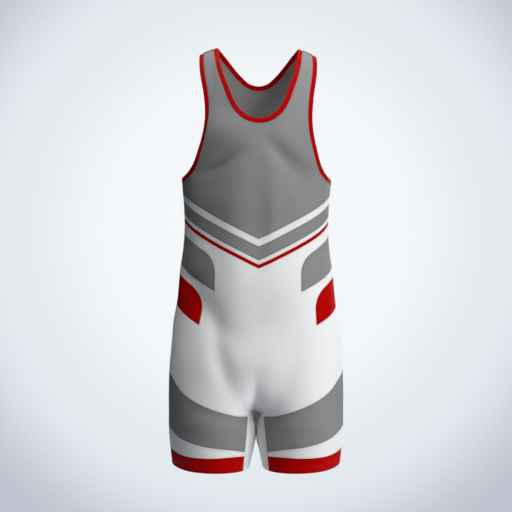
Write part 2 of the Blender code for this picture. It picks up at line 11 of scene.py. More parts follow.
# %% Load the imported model
import bpy
import numpy as np
from mathutils.geometry import delaunay_2d_cdt
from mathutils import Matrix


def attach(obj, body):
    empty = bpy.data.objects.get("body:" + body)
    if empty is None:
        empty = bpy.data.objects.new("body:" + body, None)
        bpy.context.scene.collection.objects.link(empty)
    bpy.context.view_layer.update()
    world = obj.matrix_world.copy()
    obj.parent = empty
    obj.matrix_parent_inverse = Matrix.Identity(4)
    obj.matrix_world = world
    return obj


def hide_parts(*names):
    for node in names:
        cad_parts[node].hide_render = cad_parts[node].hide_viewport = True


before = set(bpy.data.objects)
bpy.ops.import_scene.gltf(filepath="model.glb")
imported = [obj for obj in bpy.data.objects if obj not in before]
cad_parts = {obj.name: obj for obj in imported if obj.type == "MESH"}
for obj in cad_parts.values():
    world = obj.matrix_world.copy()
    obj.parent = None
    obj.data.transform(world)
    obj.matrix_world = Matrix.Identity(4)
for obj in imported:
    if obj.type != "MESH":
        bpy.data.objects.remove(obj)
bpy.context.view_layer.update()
print("nodes:", len(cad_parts))

# %% [markdown]
# ## One form for all panels
#
# A garment of many panels fits together only if all of them are laid on one form. Modelling each panel by
# eye would leave steps at the seams. So the form is a function: it turns two cloth coordinates into a
# point.
#
# - `across` runs round the body: 0 at the centre front, `QUARTER` at the left side line, `2 * QUARTER` at
#   the centre back, and on round the right side.
# - `up` is the height below the underarm. Above it, it is the length along the cloth, as far as `RIDGE`,
#   where front and back straps meet on the shoulder.

# %% Sizes of the form
WALL = 0.0016
UNDERARM = -0.261
BELLY = -0.590
GUSSET_TOP = -0.683
CROTCH = -0.692
LEG_TOP = -0.717
HEM = -0.798

QUARTER = 0.215
SECTION_POWER = 2.3
GROIN_SOFTNESS = 0.06
LEG_ROUNDNESS = 0.75
LEG_FULLNESS = (1.0 + LEG_ROUNDNESS) ** (1.0 + LEG_ROUNDNESS) / LEG_ROUNDNESS**LEG_ROUNDNESS
SPREAD_BLEND = 0.1
SECTIONS = np.array((
    # level, half_width, front_depth, back_depth
    (-0.798, 0.1600, 0.0885, 0.089),
    (-0.770, 0.1630, 0.0905, 0.093),
    (-0.732, 0.1665, 0.0930, 0.098),
    (-0.693, 0.1670, 0.0965, 0.105),
    (-0.655, 0.1670, 0.101, 0.114),
    (-0.597, 0.1650, 0.107, 0.121),
    (-0.540, 0.1600, 0.109, 0.120),
    (-0.482, 0.1510, 0.107, 0.112),
    (-0.424, 0.1455, 0.103, 0.100),
    (-0.386, 0.1400, 0.101, 0.093),
    (-0.345, 0.1375, 0.101, 0.091),
    (-0.300, 0.1390, 0.104, 0.096),
    (-0.261, 0.1420, 0.105, 0.099),
    (-0.150, 0.1435, 0.104, 0.098),
))

# The thighs touch above the gap between the legs, so they stand only a hair from the middle there
INSIDE_LEG = np.array((
    # level, inner_x, seam_x
    (-0.798, 0.0122, 0.0238),
    (-0.770, 0.0058, 0.0215),
    (-0.744, 0.0004, 0.0190),
    (-0.717, 0.0002, 0.0165),
    (-0.683, 0.0002, 0.0140),
))
GUSSET_SEAM = 0.014
GUSSET_CORNER = 0.5

NECK_SIDE = 0.0776
SHOULDER_SLOPE = 0.5
SHOULDER_SOFTNESS = 0.060
ARCH_DEPTH = 0.085
print("strap to hem:", -HEM, "m")

# %% [markdown]
# The sizes above are a few measured levels. A smooth curve through them gives every level between, in the
# same way as a draughtsman bends a spline through marks.

# %% Smooth curves
OUTLINE_STEP = 0.0034


def smooth_step(share):
    """Ease from 0 to 1."""
    share = np.clip(share, 0.0, 1.0)
    return share * share * (3.0 - 2.0 * share)


def curve_through(knots, values, at):
    """Read a smooth curve that passes through every value."""
    slopes = np.gradient(values, knots)
    at = np.clip(at, knots[0], knots[-1])
    left = np.clip(np.searchsorted(knots, at) - 1, 0, len(knots) - 2)
    span = knots[left + 1] - knots[left]
    t = (at - knots[left]) / span
    rise = values[left + 1] - values[left]
    bend = (1.0 - t) * slopes[left] * span - t * slopes[left + 1] * span
    return values[left] + smooth_step(t) * rise + t * (1.0 - t) * bend


def column_reader(table, column):
    """A function that reads one column of a table smoothly at any level."""
    return lambda level: curve_through(table[:, 0], table[:, column], level)


def even_steps(start, end, spacing=OUTLINE_STEP):
    """Numbers from start to end, both included, about one spacing apart."""
    count = max(1, int(round(abs(end - start) / spacing)))
    return np.linspace(start, end, count + 1)


def running_total(steps):
    """Sums of the steps so far, starting from 0."""
    return np.append(0.0, np.cumsum(steps))


def lengths_along(points):
    """Length along a line of points, at each of them."""
    return running_total(np.linalg.norm(np.diff(points, axis=0), axis=1))


def unit(vectors):
    """Vectors brought to length 1."""
    return vectors / np.linalg.norm(vectors, axis=-1, keepdims=True)


half_width, front_depth, back_depth = (column_reader(SECTIONS, column) for column in (1, 2, 3))
inner_x, seam_x = (column_reader(INSIDE_LEG, column) for column in (1, 2))
print("half width at the waist:", round(float(half_width(-0.345)), 4), "m")

# %% [markdown]
# A level section of the trunk is one wide oval. Each leg is a closed oval of its own, fuller on the inside
# of the thigh. Between crotch and belly the two are mixed, which gives the smooth saddle that stretch cloth
# makes there.

# %% Sections of trunk and legs
SECTION_POINTS = 400
RIGHT_ANGLE = np.pi / 2.0
QUARTER_TURN = np.linspace(0.0, RIGHT_ANGLE, SECTION_POINTS)


def section_depth(x, level, back):
    """How far the cloth stands before or behind the side line, x out from the middle."""
    inner = inner_x(level)
    share = np.clip((x - inner) / (half_width(level) - inner), 0.0, 1.0)
    climb = np.clip((level - CROTCH) / (BELLY - CROTCH), 0.0, 1.0)
    trunk_share = climb * (2.0 - climb)
    soft = GROIN_SOFTNESS * smooth_step((level - LEG_TOP) / (GUSSET_TOP - LEG_TOP))
    inside = np.sqrt(share**2 + soft**2) - soft
    leg = LEG_FULLNESS * inside**LEG_ROUNDNESS * (1.0 - share)
    trunk = (1.0 - share**SECTION_POWER) ** (2.0 / SECTION_POWER)
    square = (1.0 - trunk_share) * leg + trunk_share * trunk
    return np.where(back, back_depth(level), front_depth(level)) * np.sqrt(np.clip(square, 0.0, None))


def shoulder_height(x):
    """Height of the shoulder ridge, 0 at the neck side of the strap."""
    at_neck = np.hypot(NECK_SIDE, SHOULDER_SOFTNESS)
    return -SHOULDER_SLOPE * (np.hypot(x, SHOULDER_SOFTNESS) - at_neck)


# Above the underarm the section folds forward over the shoulder along an arch
ARCH = np.column_stack((-UNDERARM * np.sin(QUARTER_TURN), ARCH_DEPTH * np.cos(QUARTER_TURN)))
ARCH_LENGTHS = lengths_along(ARCH)
RIDGE = UNDERARM + ARCH_LENGTHS[-1]
print("cloth over the shoulder ends at up =", round(RIDGE, 4))

# %% [markdown]
# The cloth is spread evenly round each section, so a seam that is straight in the flat cloth stays a fair
# curve on the body. Two tables hold where each cloth length falls, one for the front and one for the back.

# %% Spread the cloth round the sections
SPREAD_LEVELS = 240
SPREAD_COLUMNS = 216


def section_spread(level, back, columns):
    """Where cloth lengths round a section fall, as shares of its half width."""
    edge, width = seam_x(level), half_width(level)
    x = edge + (width - edge) * np.sin(QUARTER_TURN)
    length = lengths_along(np.column_stack((x, section_depth(x, level, back))))
    across = GUSSET_SEAM + (QUARTER - GUSSET_SEAM) * length / length[-1]
    return np.interp(columns, np.append(0.0, across), np.append(0.0, x)) / width


def spread_tables():
    """Front and back tables of shares, by level and across. They agree at the underarm and above it."""
    levels = np.linspace(HEM, UNDERARM, SPREAD_LEVELS)
    columns = np.linspace(0.0, QUARTER, SPREAD_COLUMNS)
    tables = np.array([[section_spread(level, back, columns) for level in levels] for back in (False, True)])
    own = smooth_step((UNDERARM - levels) / SPREAD_BLEND)[:, None]
    return own * tables + (1.0 - own) * tables[:, -1:].mean(axis=0)


def read_table(table, across, level):
    """Read a spread table between its entries."""
    row = np.clip((level - HEM) / (UNDERARM - HEM), 0.0, 1.0) * (SPREAD_LEVELS - 1)
    column = np.clip(across / QUARTER, 0.0, 1.0) * (SPREAD_COLUMNS - 1)
    i = np.minimum(row.astype(int), SPREAD_LEVELS - 2)
    j = np.minimum(column.astype(int), SPREAD_COLUMNS - 2)
    low = (1.0 - column + j) * table[i, j] + (column - j) * table[i, j + 1]
    high = (1.0 - column + j) * table[i + 1, j] + (column - j) * table[i + 1, j + 1]
    return (1.0 - row + i) * low + (row - i) * high


FRONT_SPREAD, BACK_SPREAD = spread_tables()
print("spread tables:", FRONT_SPREAD.shape)

# %% From cloth coordinates to the form
NORMAL_STEP = 0.0005


def form_points(across, up):
    """The smooth outside of the form, in metres, at cloth coordinates."""
    across, up = np.broadcast_arrays(np.mod(across, 4.0 * QUARTER), up)
    quarter = np.minimum((across / QUARTER).astype(int), 3)
    back = (quarter == 1) | (quarter == 2)
    from_front = np.minimum(across, 4.0 * QUARTER - across)
    from_middle = np.where(back, 2.0 * QUARTER - from_front, from_front)
    level = np.minimum(up, UNDERARM)
    tables = [read_table(table, from_middle, level) for table in (BACK_SPREAD, FRONT_SPREAD)]
    share = np.where(back, *tables)
    depth = section_depth(share * half_width(level), level, back)
    x = share * half_width(up)
    angle = np.interp(up - UNDERARM, ARCH_LENGTHS, QUARTER_TURN)
    arched = UNDERARM + (shoulder_height(x) - UNDERARM) * np.sin(angle)
    z = np.where(up > UNDERARM, arched, up)
    y = depth * np.cos(angle)
    return np.stack((np.where(quarter < 2, x, -x), np.where(back, y, -y), z), axis=-1)


def form_steps(across, up):
    """What a step round the body and a step up the cloth are on the form, to a unit of each."""
    higher = np.minimum(up + NORMAL_STEP, RIDGE)
    lower = np.maximum(up - NORMAL_STEP, HEM)
    round_body = form_points(across + NORMAL_STEP, up) - form_points(across - NORMAL_STEP, up)
    up_cloth = form_points(across, higher) - form_points(across, lower)
    return round_body / (2.0 * NORMAL_STEP), up_cloth / (higher - lower)[..., None]


def form_normals(across, up):
    """Outward directions of the form."""
    return unit(np.cross(*form_steps(across, up)))


def strap_coordinates(points):
    """Cloth coordinates of points whose up runs on over the shoulder and down the back."""
    over = points[:, 1] > RIDGE
    across = np.where(over, 2.0 * QUARTER - points[:, 0], points[:, 0])
    up = np.where(over, 2.0 * RIDGE - points[:, 1], points[:, 1])
    return across, up


def form_scale(points):
    """Lengths on the form to a unit of across and to a unit of up, at strap coordinates."""
    return np.column_stack([np.linalg.norm(step, axis=1) for step in form_steps(*strap_coordinates(points))])


print("left side line at the waist:", form_points(np.array([QUARTER]), np.array([-0.345]))[0].round(4))

# %% [markdown]
# ## Soft creases
#
# Stretch knit that fits this closely has no sharp folds. It has shallow troughs and ridges where it is
# pulled: out from the crotch, in across the groin, round the small of the back and below the armholes.
# Cloth simulation would need a body inside and would give folds that nobody chose. So each crease is placed
# one by one, in cloth coordinates, as a soft ridge or trough along a bent line.

# %% The creases of one side, mirrored with small changes on the other
CREASES = np.array((
    # across_0, up_0, across_1, up_1, bow, half_width, height
    # front: from beside the crotch up and out over the thigh
    (0.022, -0.708, 0.150, -0.664, -0.012, 0.0120, -0.0010),
    # front: down the middle of the thigh
    (0.120, -0.560, 0.122, -0.900, 0.002, 0.0420, 0.0055),
    (0.044, -0.640, 0.044, -0.860, 0.002, 0.0220, -0.0030),
    # front: the waist
    (0.196, -0.426, 0.092, -0.458, 0.006, 0.0100, -0.0014),
    (0.200, -0.452, 0.120, -0.500, 0.005, 0.0110, 0.0012),
    (0.198, -0.392, 0.110, -0.368, 0.004, 0.0120, -0.0012),
    # strap: along its length and at its foot
    (0.100, -0.010, 0.092, -0.110, 0.003, 0.0080, -0.0009),
    (0.080, -0.098, 0.050, -0.170, 0.006, 0.0120, -0.0010),
    # side
    (0.215, -0.290, 0.222, -0.392, 0.006, 0.0120, -0.0014),
    (0.206, -0.520, 0.228, -0.640, 0.008, 0.0160, -0.0018),
    (0.240, -0.470, 0.205, -0.580, 0.006, 0.0150, 0.0014),
    # back: the small of the back, level folds that run round to the side
    (0.425, -0.386, 0.292, -0.374, 0.006, 0.0100, -0.0022),
    (0.418, -0.412, 0.262, -0.408, -0.005, 0.0095, 0.0018),
    (0.410, -0.437, 0.300, -0.446, 0.005, 0.0105, -0.0019),
    (0.330, -0.350, 0.250, -0.338, 0.005, 0.0105, -0.0013),
    # back: across the shoulder blade towards the armhole
    (0.290, -0.244, 0.392, -0.204, -0.010, 0.0180, -0.0024),
    (0.318, -0.180, 0.372, -0.150, -0.006, 0.0130, -0.0014),
    # back: seat, from the crotch up and out
    (0.424, -0.686, 0.322, -0.606, 0.012, 0.0140, -0.0036),
    (0.408, -0.640, 0.340, -0.550, 0.010, 0.0170, 0.0016),
    (0.404, -0.704, 0.280, -0.676, 0.012, 0.0130, -0.0018),
    (0.262, -0.520, 0.330, -0.610, -0.010, 0.0190, -0.0020),
    # legs: slack lines above the hem
    (0.080, -0.748, 0.172, -0.728, 0.006, 0.0100, -0.0010),
    (0.250, -0.742, 0.330, -0.760, 0.006, 0.0100, -0.0010),
))
OTHER_SIDE_SHIFT = (0.0040, -0.0070)
OTHER_SIDE_DEPTH = 1.12
CREASE_FADE = 1.5
GUSSET_REACH = 0.02
GUSSET_FADE = 0.012
HEM_CALM = 0.004
HEM_FADE = 0.02

# %% The large creases of the front, each on its own. Across is negative on the wearer's right
FRONT_CREASES = np.array((
    # across_0, up_0, across_1, up_1, bow, half_width, height
    # drag lines in from the armholes, each with a gentler slope below it
    (0.157, -0.250, 0.002, -0.176, 0.016, 0.0155, -0.0092),
    (0.162, -0.280, 0.026, -0.212, 0.012, 0.0270, -0.0050),
    (-0.155, -0.250, -0.014, -0.200, -0.004, 0.0155, -0.0080),
    (-0.164, -0.280, -0.024, -0.232, -0.004, 0.0270, -0.0045),
    # foot of the wearer's right strap
    (-0.155, -0.150, 0.006, -0.180, -0.004, 0.0340, 0.0056),
    # long soft ridges from the chest down to the waist
    (-0.044, -0.150, -0.052, -0.600, 0.004, 0.0430, 0.0078),
    (0.030, -0.190, 0.020, -0.460, 0.003, 0.0190, 0.0038),
    # slack across the belly, deeper on the wearer's right
    (-0.215, -0.500, 0.150, -0.530, -0.004, 0.0560, -0.0110),
    (-0.190, -0.400, -0.012, -0.575, -0.006, 0.0240, -0.0064),
    # groin: down the inside of each thigh to the crotch
    (-0.084, -0.480, -0.010, -0.700, -0.017, 0.0190, -0.0062),
    (0.084, -0.530, 0.012, -0.700, 0.012, 0.0210, -0.0034),
))


def crease_height(across, up, crease):
    """Height of one crease: a soft ridge about a bent line, fading out to both ends."""
    a0, u0, a1, u1, bow, half, height = crease
    length = np.hypot(a1 - a0, u1 - u0)
    forward = np.array((a1 - a0, u1 - u0)) / length
    along = ((across - a0) * forward[0] + (up - u0) * forward[1]) / length
    aside = (up - u0) * forward[0] - (across - a0) * forward[1]
    bent = aside - 4.0 * bow * along * (1.0 - along)
    fade = np.sin(np.pi * np.clip(along, 0.0, 1.0)) ** CREASE_FADE
    return height * fade * np.exp(-((bent / half) ** 2))


def crease_field(across, up):
    """Height of all creases at cloth coordinates. It fades out towards the gusset and the hem."""
    across, up = np.broadcast_arrays(np.mod(across, 4.0 * QUARTER), up)
    right = across > 2.0 * QUARTER
    from_front = np.where(right, 4.0 * QUARTER - across, across)
    place = from_front + right * OTHER_SIDE_SHIFT[0], up + right * OTHER_SIDE_SHIFT[1]
    total = sum(crease_height(*place, crease) for crease in CREASES)
    total = total * np.where(right, OTHER_SIDE_DEPTH, 1.0)
    signed = np.where(right, -from_front, from_front)
    total += sum(crease_height(signed, up, crease) for crease in FRONT_CREASES)
    to_gusset = np.minimum(from_front, 2.0 * QUARTER - from_front) - GUSSET_SEAM
    beside_gusset = up < GUSSET_TOP + GUSSET_REACH
    clear_of_gusset = np.where(beside_gusset, smooth_step(to_gusset / GUSSET_FADE), 1.0)
    return total * clear_of_gusset * smooth_step((up - HEM - HEM_CALM) / HEM_FADE)


def cloth_points(across, up, lift=0.0):
    """The creased cloth, in metres. lift moves a point out along the form's own direction."""
    height = crease_field(across, up) + lift
    return form_points(across, up) + height[..., None] * form_normals(across, up)


deepest = np.abs(FRONT_CREASES[:, 6]).max()
print("creases:", 2 * len(CREASES) + len(FRONT_CREASES), "deepest", round(deepest * 1000, 1), "mm")

# %% [markdown]
# ## Stance
#
# The form is the same on both sides, but cloth never hangs quite straight. So every finished point is moved
# a few millimetres: the chest leans a little to the wearer's left, is turned a little and is tilted by one
# degree. The table gives this by level, so all pieces move together and the seams stay closed.

# %% Stand a little askew
STANCE = np.array((
    # level, aside, turn, tilt
    (-0.800, 0.0000, 0.000, 0.000),
    (-0.740, 0.0000, 0.000, 0.000),
    (-0.640, 0.0001, -0.010, 0.000),
    (-0.560, 0.0002, 0.005, 0.000),
    (-0.480, 0.0002, 0.030, 0.008),
    (-0.400, 0.0002, 0.045, 0.016),
    (-0.330, 0.0003, 0.035, 0.017),
    (-0.250, 0.0010, 0.010, 0.017),
    (-0.180, 0.0040, 0.000, 0.017),
    (-0.120, 0.0052, 0.000, 0.017),
    (-0.060, 0.0046, 0.000, 0.017),
    (0.020, 0.0033, 0.000, 0.017),
))


def stand(points):
    """Points moved by the stance: aside along +X, turned about the upright axis, tilted to the left."""
    x, y, z = np.moveaxis(points, -1, 0)
    aside, turn, tilt = (curve_through(STANCE[:, 0], column, z) for column in STANCE.T[1:])
    return np.stack((x + aside - turn * y, y, z - tilt * x), axis=-1)


print("farthest move aside:", STANCE[:, 1].max() * 1000, "mm")

# %% [markdown]
# ## Seams
#
# All seams are lines in cloth coordinates. The chevron's stripes are straight lines in the flat cloth which
# turn level at the side. Neck and armhole are smooth curves through a few marks, as on a paper pattern.

# %% Marks of the seams
SEAM_GAP = 0.0001

NECK_EDGE = np.array((
    # across, up
    (0.0000, -0.1524),
    (0.0185, -0.1481),
    (0.0345, -0.1362),
    (0.0425, -0.1262),
    (0.0507, -0.1110),
    (0.0600, -0.0872),
    (0.0681, -0.0650),
    (0.0735, -0.0455),
    (0.0776, -0.0262),
    (0.0805, -0.0030),
    (0.0828, 0.0286),
    (0.0784, 0.0440),
    (0.0702, 0.0591),
    (0.0521, 0.0873),
    (0.0340, 0.1097),
    (0.0170, 0.1241),
    (0.0000, 0.1288),
))
ARMHOLE_EDGE = np.array((
    # across, up
    (0.2150, -0.2505),
    (0.1950, -0.2497),
    (0.1760, -0.2475),
    (0.1609, -0.2432),
    (0.1490, -0.2352),
    (0.1359, -0.2205),
    (0.1257, -0.1987),
    (0.1178, -0.1763),
    (0.1125, -0.1536),
    (0.1109, -0.1320),
    (0.1119, -0.1137),
    (0.1151, -0.0879),
    (0.1206, -0.0600),
    (0.1256, -0.0300),
    (0.1271, -0.0050),
    (0.1266, 0.0286),
))
BINDING_WIDTH = 0.0090
BINDING_HALF_THICKNESS = 0.0013

STRIPE_SLOPE = 0.455
STRIPE_TURN = 0.165
STRIPES = (
    # name, height_at_centre, cloth
    ("white", -0.3665, "white"),
    ("grey", -0.3804, "grey"),
    ("thin", -0.4055, "white"),
    ("red", -0.4135, "red"),
)
STRIPES_END = -0.4204

INSET_CORNER = 0.032
SIDE_INSETS = (
    # name, top_at_centre, bottom_at_centre, front_edge, cloth
    ("grey", -0.4414, -0.5010, 0.0845, "grey"),
    ("red", -0.5190, -0.5769, 0.1145, "red"),
)
LEG_SHARES = np.array((0.0, 0.2, 0.4, 0.6, 0.8, 1.0))
LEG_EDGES = {
    # name: heights at the shares of the way from the inner seam to the side line
    "grey_top": (-0.6968, -0.6906, -0.6737, -0.6516, -0.6240, -0.6120),
    "grey_bottom": (-0.7612, -0.7537, -0.7471, -0.7374, -0.7247, -0.7170),
    "hem_top": (-0.7693, -0.7688, -0.7688, -0.7675, -0.7636, -0.7610),
    "hem": (-0.7980, -0.7977, -0.7974, -0.7965, -0.7938, -0.7920),
}
print("stripes:", len(STRIPES), "side insets:", 2 * len(SIDE_INSETS))

# %% Lines in cloth coordinates
SAME_POINT = 1e-6


def left_of(directions):
    """Unit normals to the left of directions."""
    return unit(np.column_stack((-directions[:, 1], directions[:, 0])))


def shifted(line, distance, closed=True, scale=1.0):
    """A line moved to its left, which is inwards for a closed anticlockwise line.

    With form_scale as its scale, the distance is a length on the form.
    """
    incoming = scale * (line - np.roll(line, 1, axis=0))
    outgoing = scale * (np.roll(line, -1, axis=0) - line)
    if not closed:
        incoming[0] = outgoing[0]
        outgoing[-1] = incoming[-1]
    middle = left_of(incoming) + left_of(outgoing)
    return line + 2.0 * distance * middle / np.sum(middle**2, axis=1, keepdims=True) / scale


def mirrored(line, middle=0.0):
    """A line mirrored about an across, in the opposite order."""
    return line[::-1] * (-1.0, 1.0) + (2.0 * middle, 0.0)


def over_ridge(line):
    """A line mirrored about the shoulder ridge."""
    return line * (1.0, -1.0) + (0.0, 2.0 * RIDGE)


def joined(*lines):
    """Lines one after the other, with no point twice in a row."""
    points = np.vstack(lines)
    return points[np.linalg.norm(points - np.roll(points, 1, axis=0), axis=1) > SAME_POINT]


def even_line(start, end):
    """Points along a straight line, both ends included."""
    steps = even_steps(0.0, np.linalg.norm(end - start))[:, None]
    return start + (end - start) * steps / steps[-1]


def curve_points(before, table, after):
    """Points at an even spacing on a smooth curve through a table of points.

    The points before and after it lie beyond its ends, and only give it its direction there.
    """
    table = np.vstack((before, table, after))
    knots = lengths_along(table)
    at = even_steps(knots[1], knots[-2])
    return np.column_stack([curve_through(knots, values, at) for values in table.T])


print("left half of a mirrored square:", mirrored(np.array(((1.0, 0.0), (1.0, 1.0)))).tolist())

# %% Seam lines
GUSSET_ROWS = 33


def stripe_line(height, across):
    """A stripe's edge, height at the centre front, at each across from -QUARTER to 3 * QUARTER."""
    from_front = np.minimum(np.abs(across), QUARTER)
    turning = np.clip(from_front - STRIPE_TURN, 0.0, None)
    rise = STRIPE_SLOPE * (from_front - turning**2 / (2.0 * (QUARTER - STRIPE_TURN)))
    return np.column_stack((across, height + rise))


def leg_line(name, across):
    """An edge of a leg band, at each across from the front gusset seam round to the back one."""
    heights = LEG_EDGES[name]
    from_middle = np.minimum(across, 2.0 * QUARTER - across)
    share = (from_middle - GUSSET_SEAM) / (QUARTER - GUSSET_SEAM)
    beyond = 2.0 - LEG_SHARES[-2]
    height = curve_through(np.append(LEG_SHARES, beyond), np.append(heights, heights[-2]), share)
    return np.column_stack((across, height))


def neck_line(distance):
    """The neck opening moved towards the cloth, anticlockwise from the front, in strap coordinates."""
    left = curve_points(mirrored(NECK_EDGE[1:2]), NECK_EDGE, mirrored(NECK_EDGE[-2:-1]))
    line = np.vstack((left, mirrored(left)[1:-1]))
    return shifted(line, -distance, scale=form_scale(line))


def armhole_line(distance):
    """The left armhole's opening moved towards the cloth, in strap coordinates."""
    front = curve_points(mirrored(ARMHOLE_EDGE[1:2], QUARTER), ARMHOLE_EDGE, over_ridge(ARMHOLE_EDGE[-2]))
    line = np.vstack((front, over_ridge(front[-2::-1])))
    line = np.vstack((mirrored(line[1:2], QUARTER), line, mirrored(line[-2:-1], QUARTER)))
    return shifted(line, distance, closed=False, scale=form_scale(line))[1:-1]


def below_ridge(line):
    """The stretch of a line before it first crosses the ridge, with its last point on the ridge."""
    first = int(np.argmax(line[:, 1] > RIDGE))
    low, high = line[first - 1], line[first]
    share = (RIDGE - low[1]) / (high[1] - low[1])
    return np.vstack((line[:first], low + share * (high - low)))


def neck_seam(back):
    """A yoke's edge along the neck binding, from the middle up to the ridge."""
    seam = neck_line(BINDING_WIDTH)
    return below_ridge(over_ridge(seam[len(seam) // 2::-1]) if back else seam)


def gusset_seam():
    """The gusset's seam on the left leg, from the middle of its blunt upper end down to the hem."""
    turn = np.linspace(0.0, RIGHT_ANGLE, GUSSET_ROWS)
    across = GUSSET_SEAM * np.sin(turn) ** GUSSET_CORNER
    up = LEG_TOP + (GUSSET_TOP - LEG_TOP) * np.cos(turn) ** GUSSET_CORNER
    straight = even_steps(LEG_TOP, HEM)[1:]
    return np.vstack((
        np.column_stack((across, up)),
        np.column_stack((np.full_like(straight, GUSSET_SEAM), straight)),
    ))


print("gusset seam:", len(gusset_seam()), "points")

# %% Outlines of yokes, stripes and side insets, anticlockwise
CORNER_STEPS = 12


def yoke_outline(back):
    """A yoke about its middle across: one half, and the same mirrored."""
    middle = 2.0 * QUARTER if back else 0.0
    bottom = stripe_line(STRIPES[0][1], even_steps(middle, middle + QUARTER))
    arm = below_ridge(armhole_line(BINDING_WIDTH)) + (middle, 0.0)
    neck = neck_seam(back)[::-1] + (middle, 0.0)
    half = joined(bottom, even_line(bottom[-1], arm[0]), arm, even_line(arm[-1], neck[0]), neck)
    return joined(half, mirrored(half, middle))


def stripe_outline(top, bottom, start):
    """A stripe half way round the body, from one side line to the other."""
    middle = start + QUARTER
    across = np.append(even_steps(start, middle), even_steps(middle, middle + QUARTER)[1:])
    lower = stripe_line(bottom, across)
    upper = stripe_line(top, across)[::-1]
    return joined(lower, even_line(lower[-1], upper[0]), upper, even_line(upper[-1], lower[0]))


def inset_edge(top, bottom, front_edge):
    """Front half of a side inset: along its top, round the corner, down and back to the side line."""
    upper = stripe_line(top, even_steps(QUARTER, front_edge + INSET_CORNER))
    corner = stripe_line(top, np.array([front_edge]))[0]
    end = corner - (0.0, INSET_CORNER)
    t = np.linspace(0.0, 1.0, CORNER_STEPS + 1)[1:, None]
    rounded = (1.0 - t) ** 2 * upper[-1] + 2.0 * t * (1.0 - t) * corner + t**2 * end
    lower = stripe_line(bottom, even_steps(front_edge, QUARTER))
    return joined(upper, rounded, even_line(end, lower[0]), lower)


def inset_outline(top, bottom, front_edge):
    """A left side inset: its front half, and the same mirrored about the side line."""
    front = inset_edge(top, bottom, front_edge)
    return joined(front, mirrored(front, QUARTER))


print("front yoke outline:", len(yoke_outline(False)), "points")

# %% Outlines of bodies and leg bands, anticlockwise
HEIGHT_MARGIN = 1e-4


def stretch(line, top, bottom):
    """The part of a falling line between two heights."""
    depth = -line[:, 1]
    between = line[(depth > -top + HEIGHT_MARGIN) & (depth < -bottom - HEIGHT_MARGIN)]
    across = np.interp((-top, -bottom), depth, line[:, 0])
    return np.vstack(((across[0], top), between, (across[1], bottom)))


def body_side():
    """Side of a body panel, from the stripes down to the leg band, round both side insets."""
    at_side = np.array([QUARTER])
    side = stripe_line(STRIPES_END, at_side)
    for name, *sizes, cloth in SIDE_INSETS:
        edge = inset_edge(*sizes)
        side = joined(side, even_line(side[-1], edge[0]), edge)
    return joined(side, even_line(side[-1], leg_line("grey_top", at_side)[0]))


def body_outline(middle):
    """A body panel about its middle across: one half, and the same mirrored."""
    leg = leg_line("grey_top", even_steps(GUSSET_SEAM, QUARTER))
    head = stretch(gusset_seam(), GUSSET_TOP, leg[0, 1])
    leg[0] = head[-1]
    top = stripe_line(STRIPES_END, even_steps(middle + QUARTER, middle))
    half = joined(head, leg, body_side()[::-1]) + (middle, 0.0)
    half = joined(half, top)
    return joined(half, mirrored(half, middle))


def leg_outline(upper, lower):
    """A left leg band, from the front gusset seam round the outside to the back one."""
    front = even_steps(GUSSET_SEAM, QUARTER)
    across = np.append(front, 2.0 * QUARTER - front[-2::-1])
    top = leg_line(upper, across)
    bottom = leg_line(lower, across)
    inner = stretch(gusset_seam(), top[0, 1], bottom[0, 1])
    top[0] = inner[0]
    top[-1] = mirrored(inner[:1], QUARTER)[0]
    return joined(bottom, mirrored(inner, QUARTER), top[::-1], inner)


print("front body outline:", len(body_outline(0.0)), "points")

# %% [markdown]
# ## Cloth materials
#
# The panels are one quality of polyester and elastane jersey in three colours. Its face shows columns of
# small V-shaped loops, its wrong side shows rows of arcs. An image texture could hold them, but it would
# blur close up. A node group works the loops out from the flat coordinates of each panel, and each material
# places that group with its own values.

# %% Helpers for shader nodes
FLOAT = "NodeSocketFloat"
COLOUR = "NodeSocketColor"


def feed(tree, node, feeds):
    """Set a node's inputs, by name or by place, to values, or link other sockets to them."""
    for place, given in dict(feeds).items():
        if isinstance(given, bpy.types.NodeSocket):
            tree.links.new(given, node.inputs[place])
        else:
            node.inputs[place].default_value = given


def add_node(tree, kind, feeds=(), **settings):
    """A shader node with its settings and feeds. Returns its outputs."""
    made = tree.nodes.new(f"ShaderNode{kind}")
    for setting, value in settings.items():
        setattr(made, setting, value)
    feed(tree, made, feeds)
    return made.outputs


def math(tree, operation, *feeds):
    """The output of a Math node, fed in order."""
    return add_node(tree, "Math", enumerate(feeds), operation=operation)[0]


def noise(tree, vector, scale, detail=2.0):
    """Soft noise between 0 and 1, scale waves a metre."""
    return add_node(tree, "TexNoise", {"Vector": vector, "Scale": scale, "Detail": detail})[0]


def flat_place(tree):
    """The flat cloth coordinates in metres, as a vector and as two numbers."""
    place = add_node(tree, "UVMap", uv_map="cloth")[0]
    x, y, z = add_node(tree, "SeparateXYZ", {0: place})
    return place, x, y


def near_seam(tree):
    """The number on the mesh that says how near a seam is."""
    return add_node(tree, "Attribute", attribute_name="near_seam")["Fac"]


def new_group(name, inputs, outputs):
    """A shader group with named sockets. Returns the tree, what it is given and its output node."""
    tree = bpy.data.node_groups.new(name, "ShaderNodeTree")
    for socket, kind, value in inputs:
        tree.interface.new_socket(socket, in_out="INPUT", socket_type=kind).default_value = value
    for socket, kind in outputs:
        tree.interface.new_socket(socket, in_out="OUTPUT", socket_type=kind)
    return tree, tree.nodes.new("NodeGroupInput").outputs, tree.nodes.new("NodeGroupOutput")


def new_material(name):
    """A material, its tree and its Principled shader."""
    material = bpy.data.materials.new(name)
    material.use_nodes = True
    return material, material.node_tree, material.node_tree.nodes["Principled BSDF"]

# %% Node group: knit loops
FULL_TURN = 2.0 * np.pi
WALE = 0.0008
COURSE = 0.0006
ROW_DIP = 0.25
ARC_BEND = 0.2


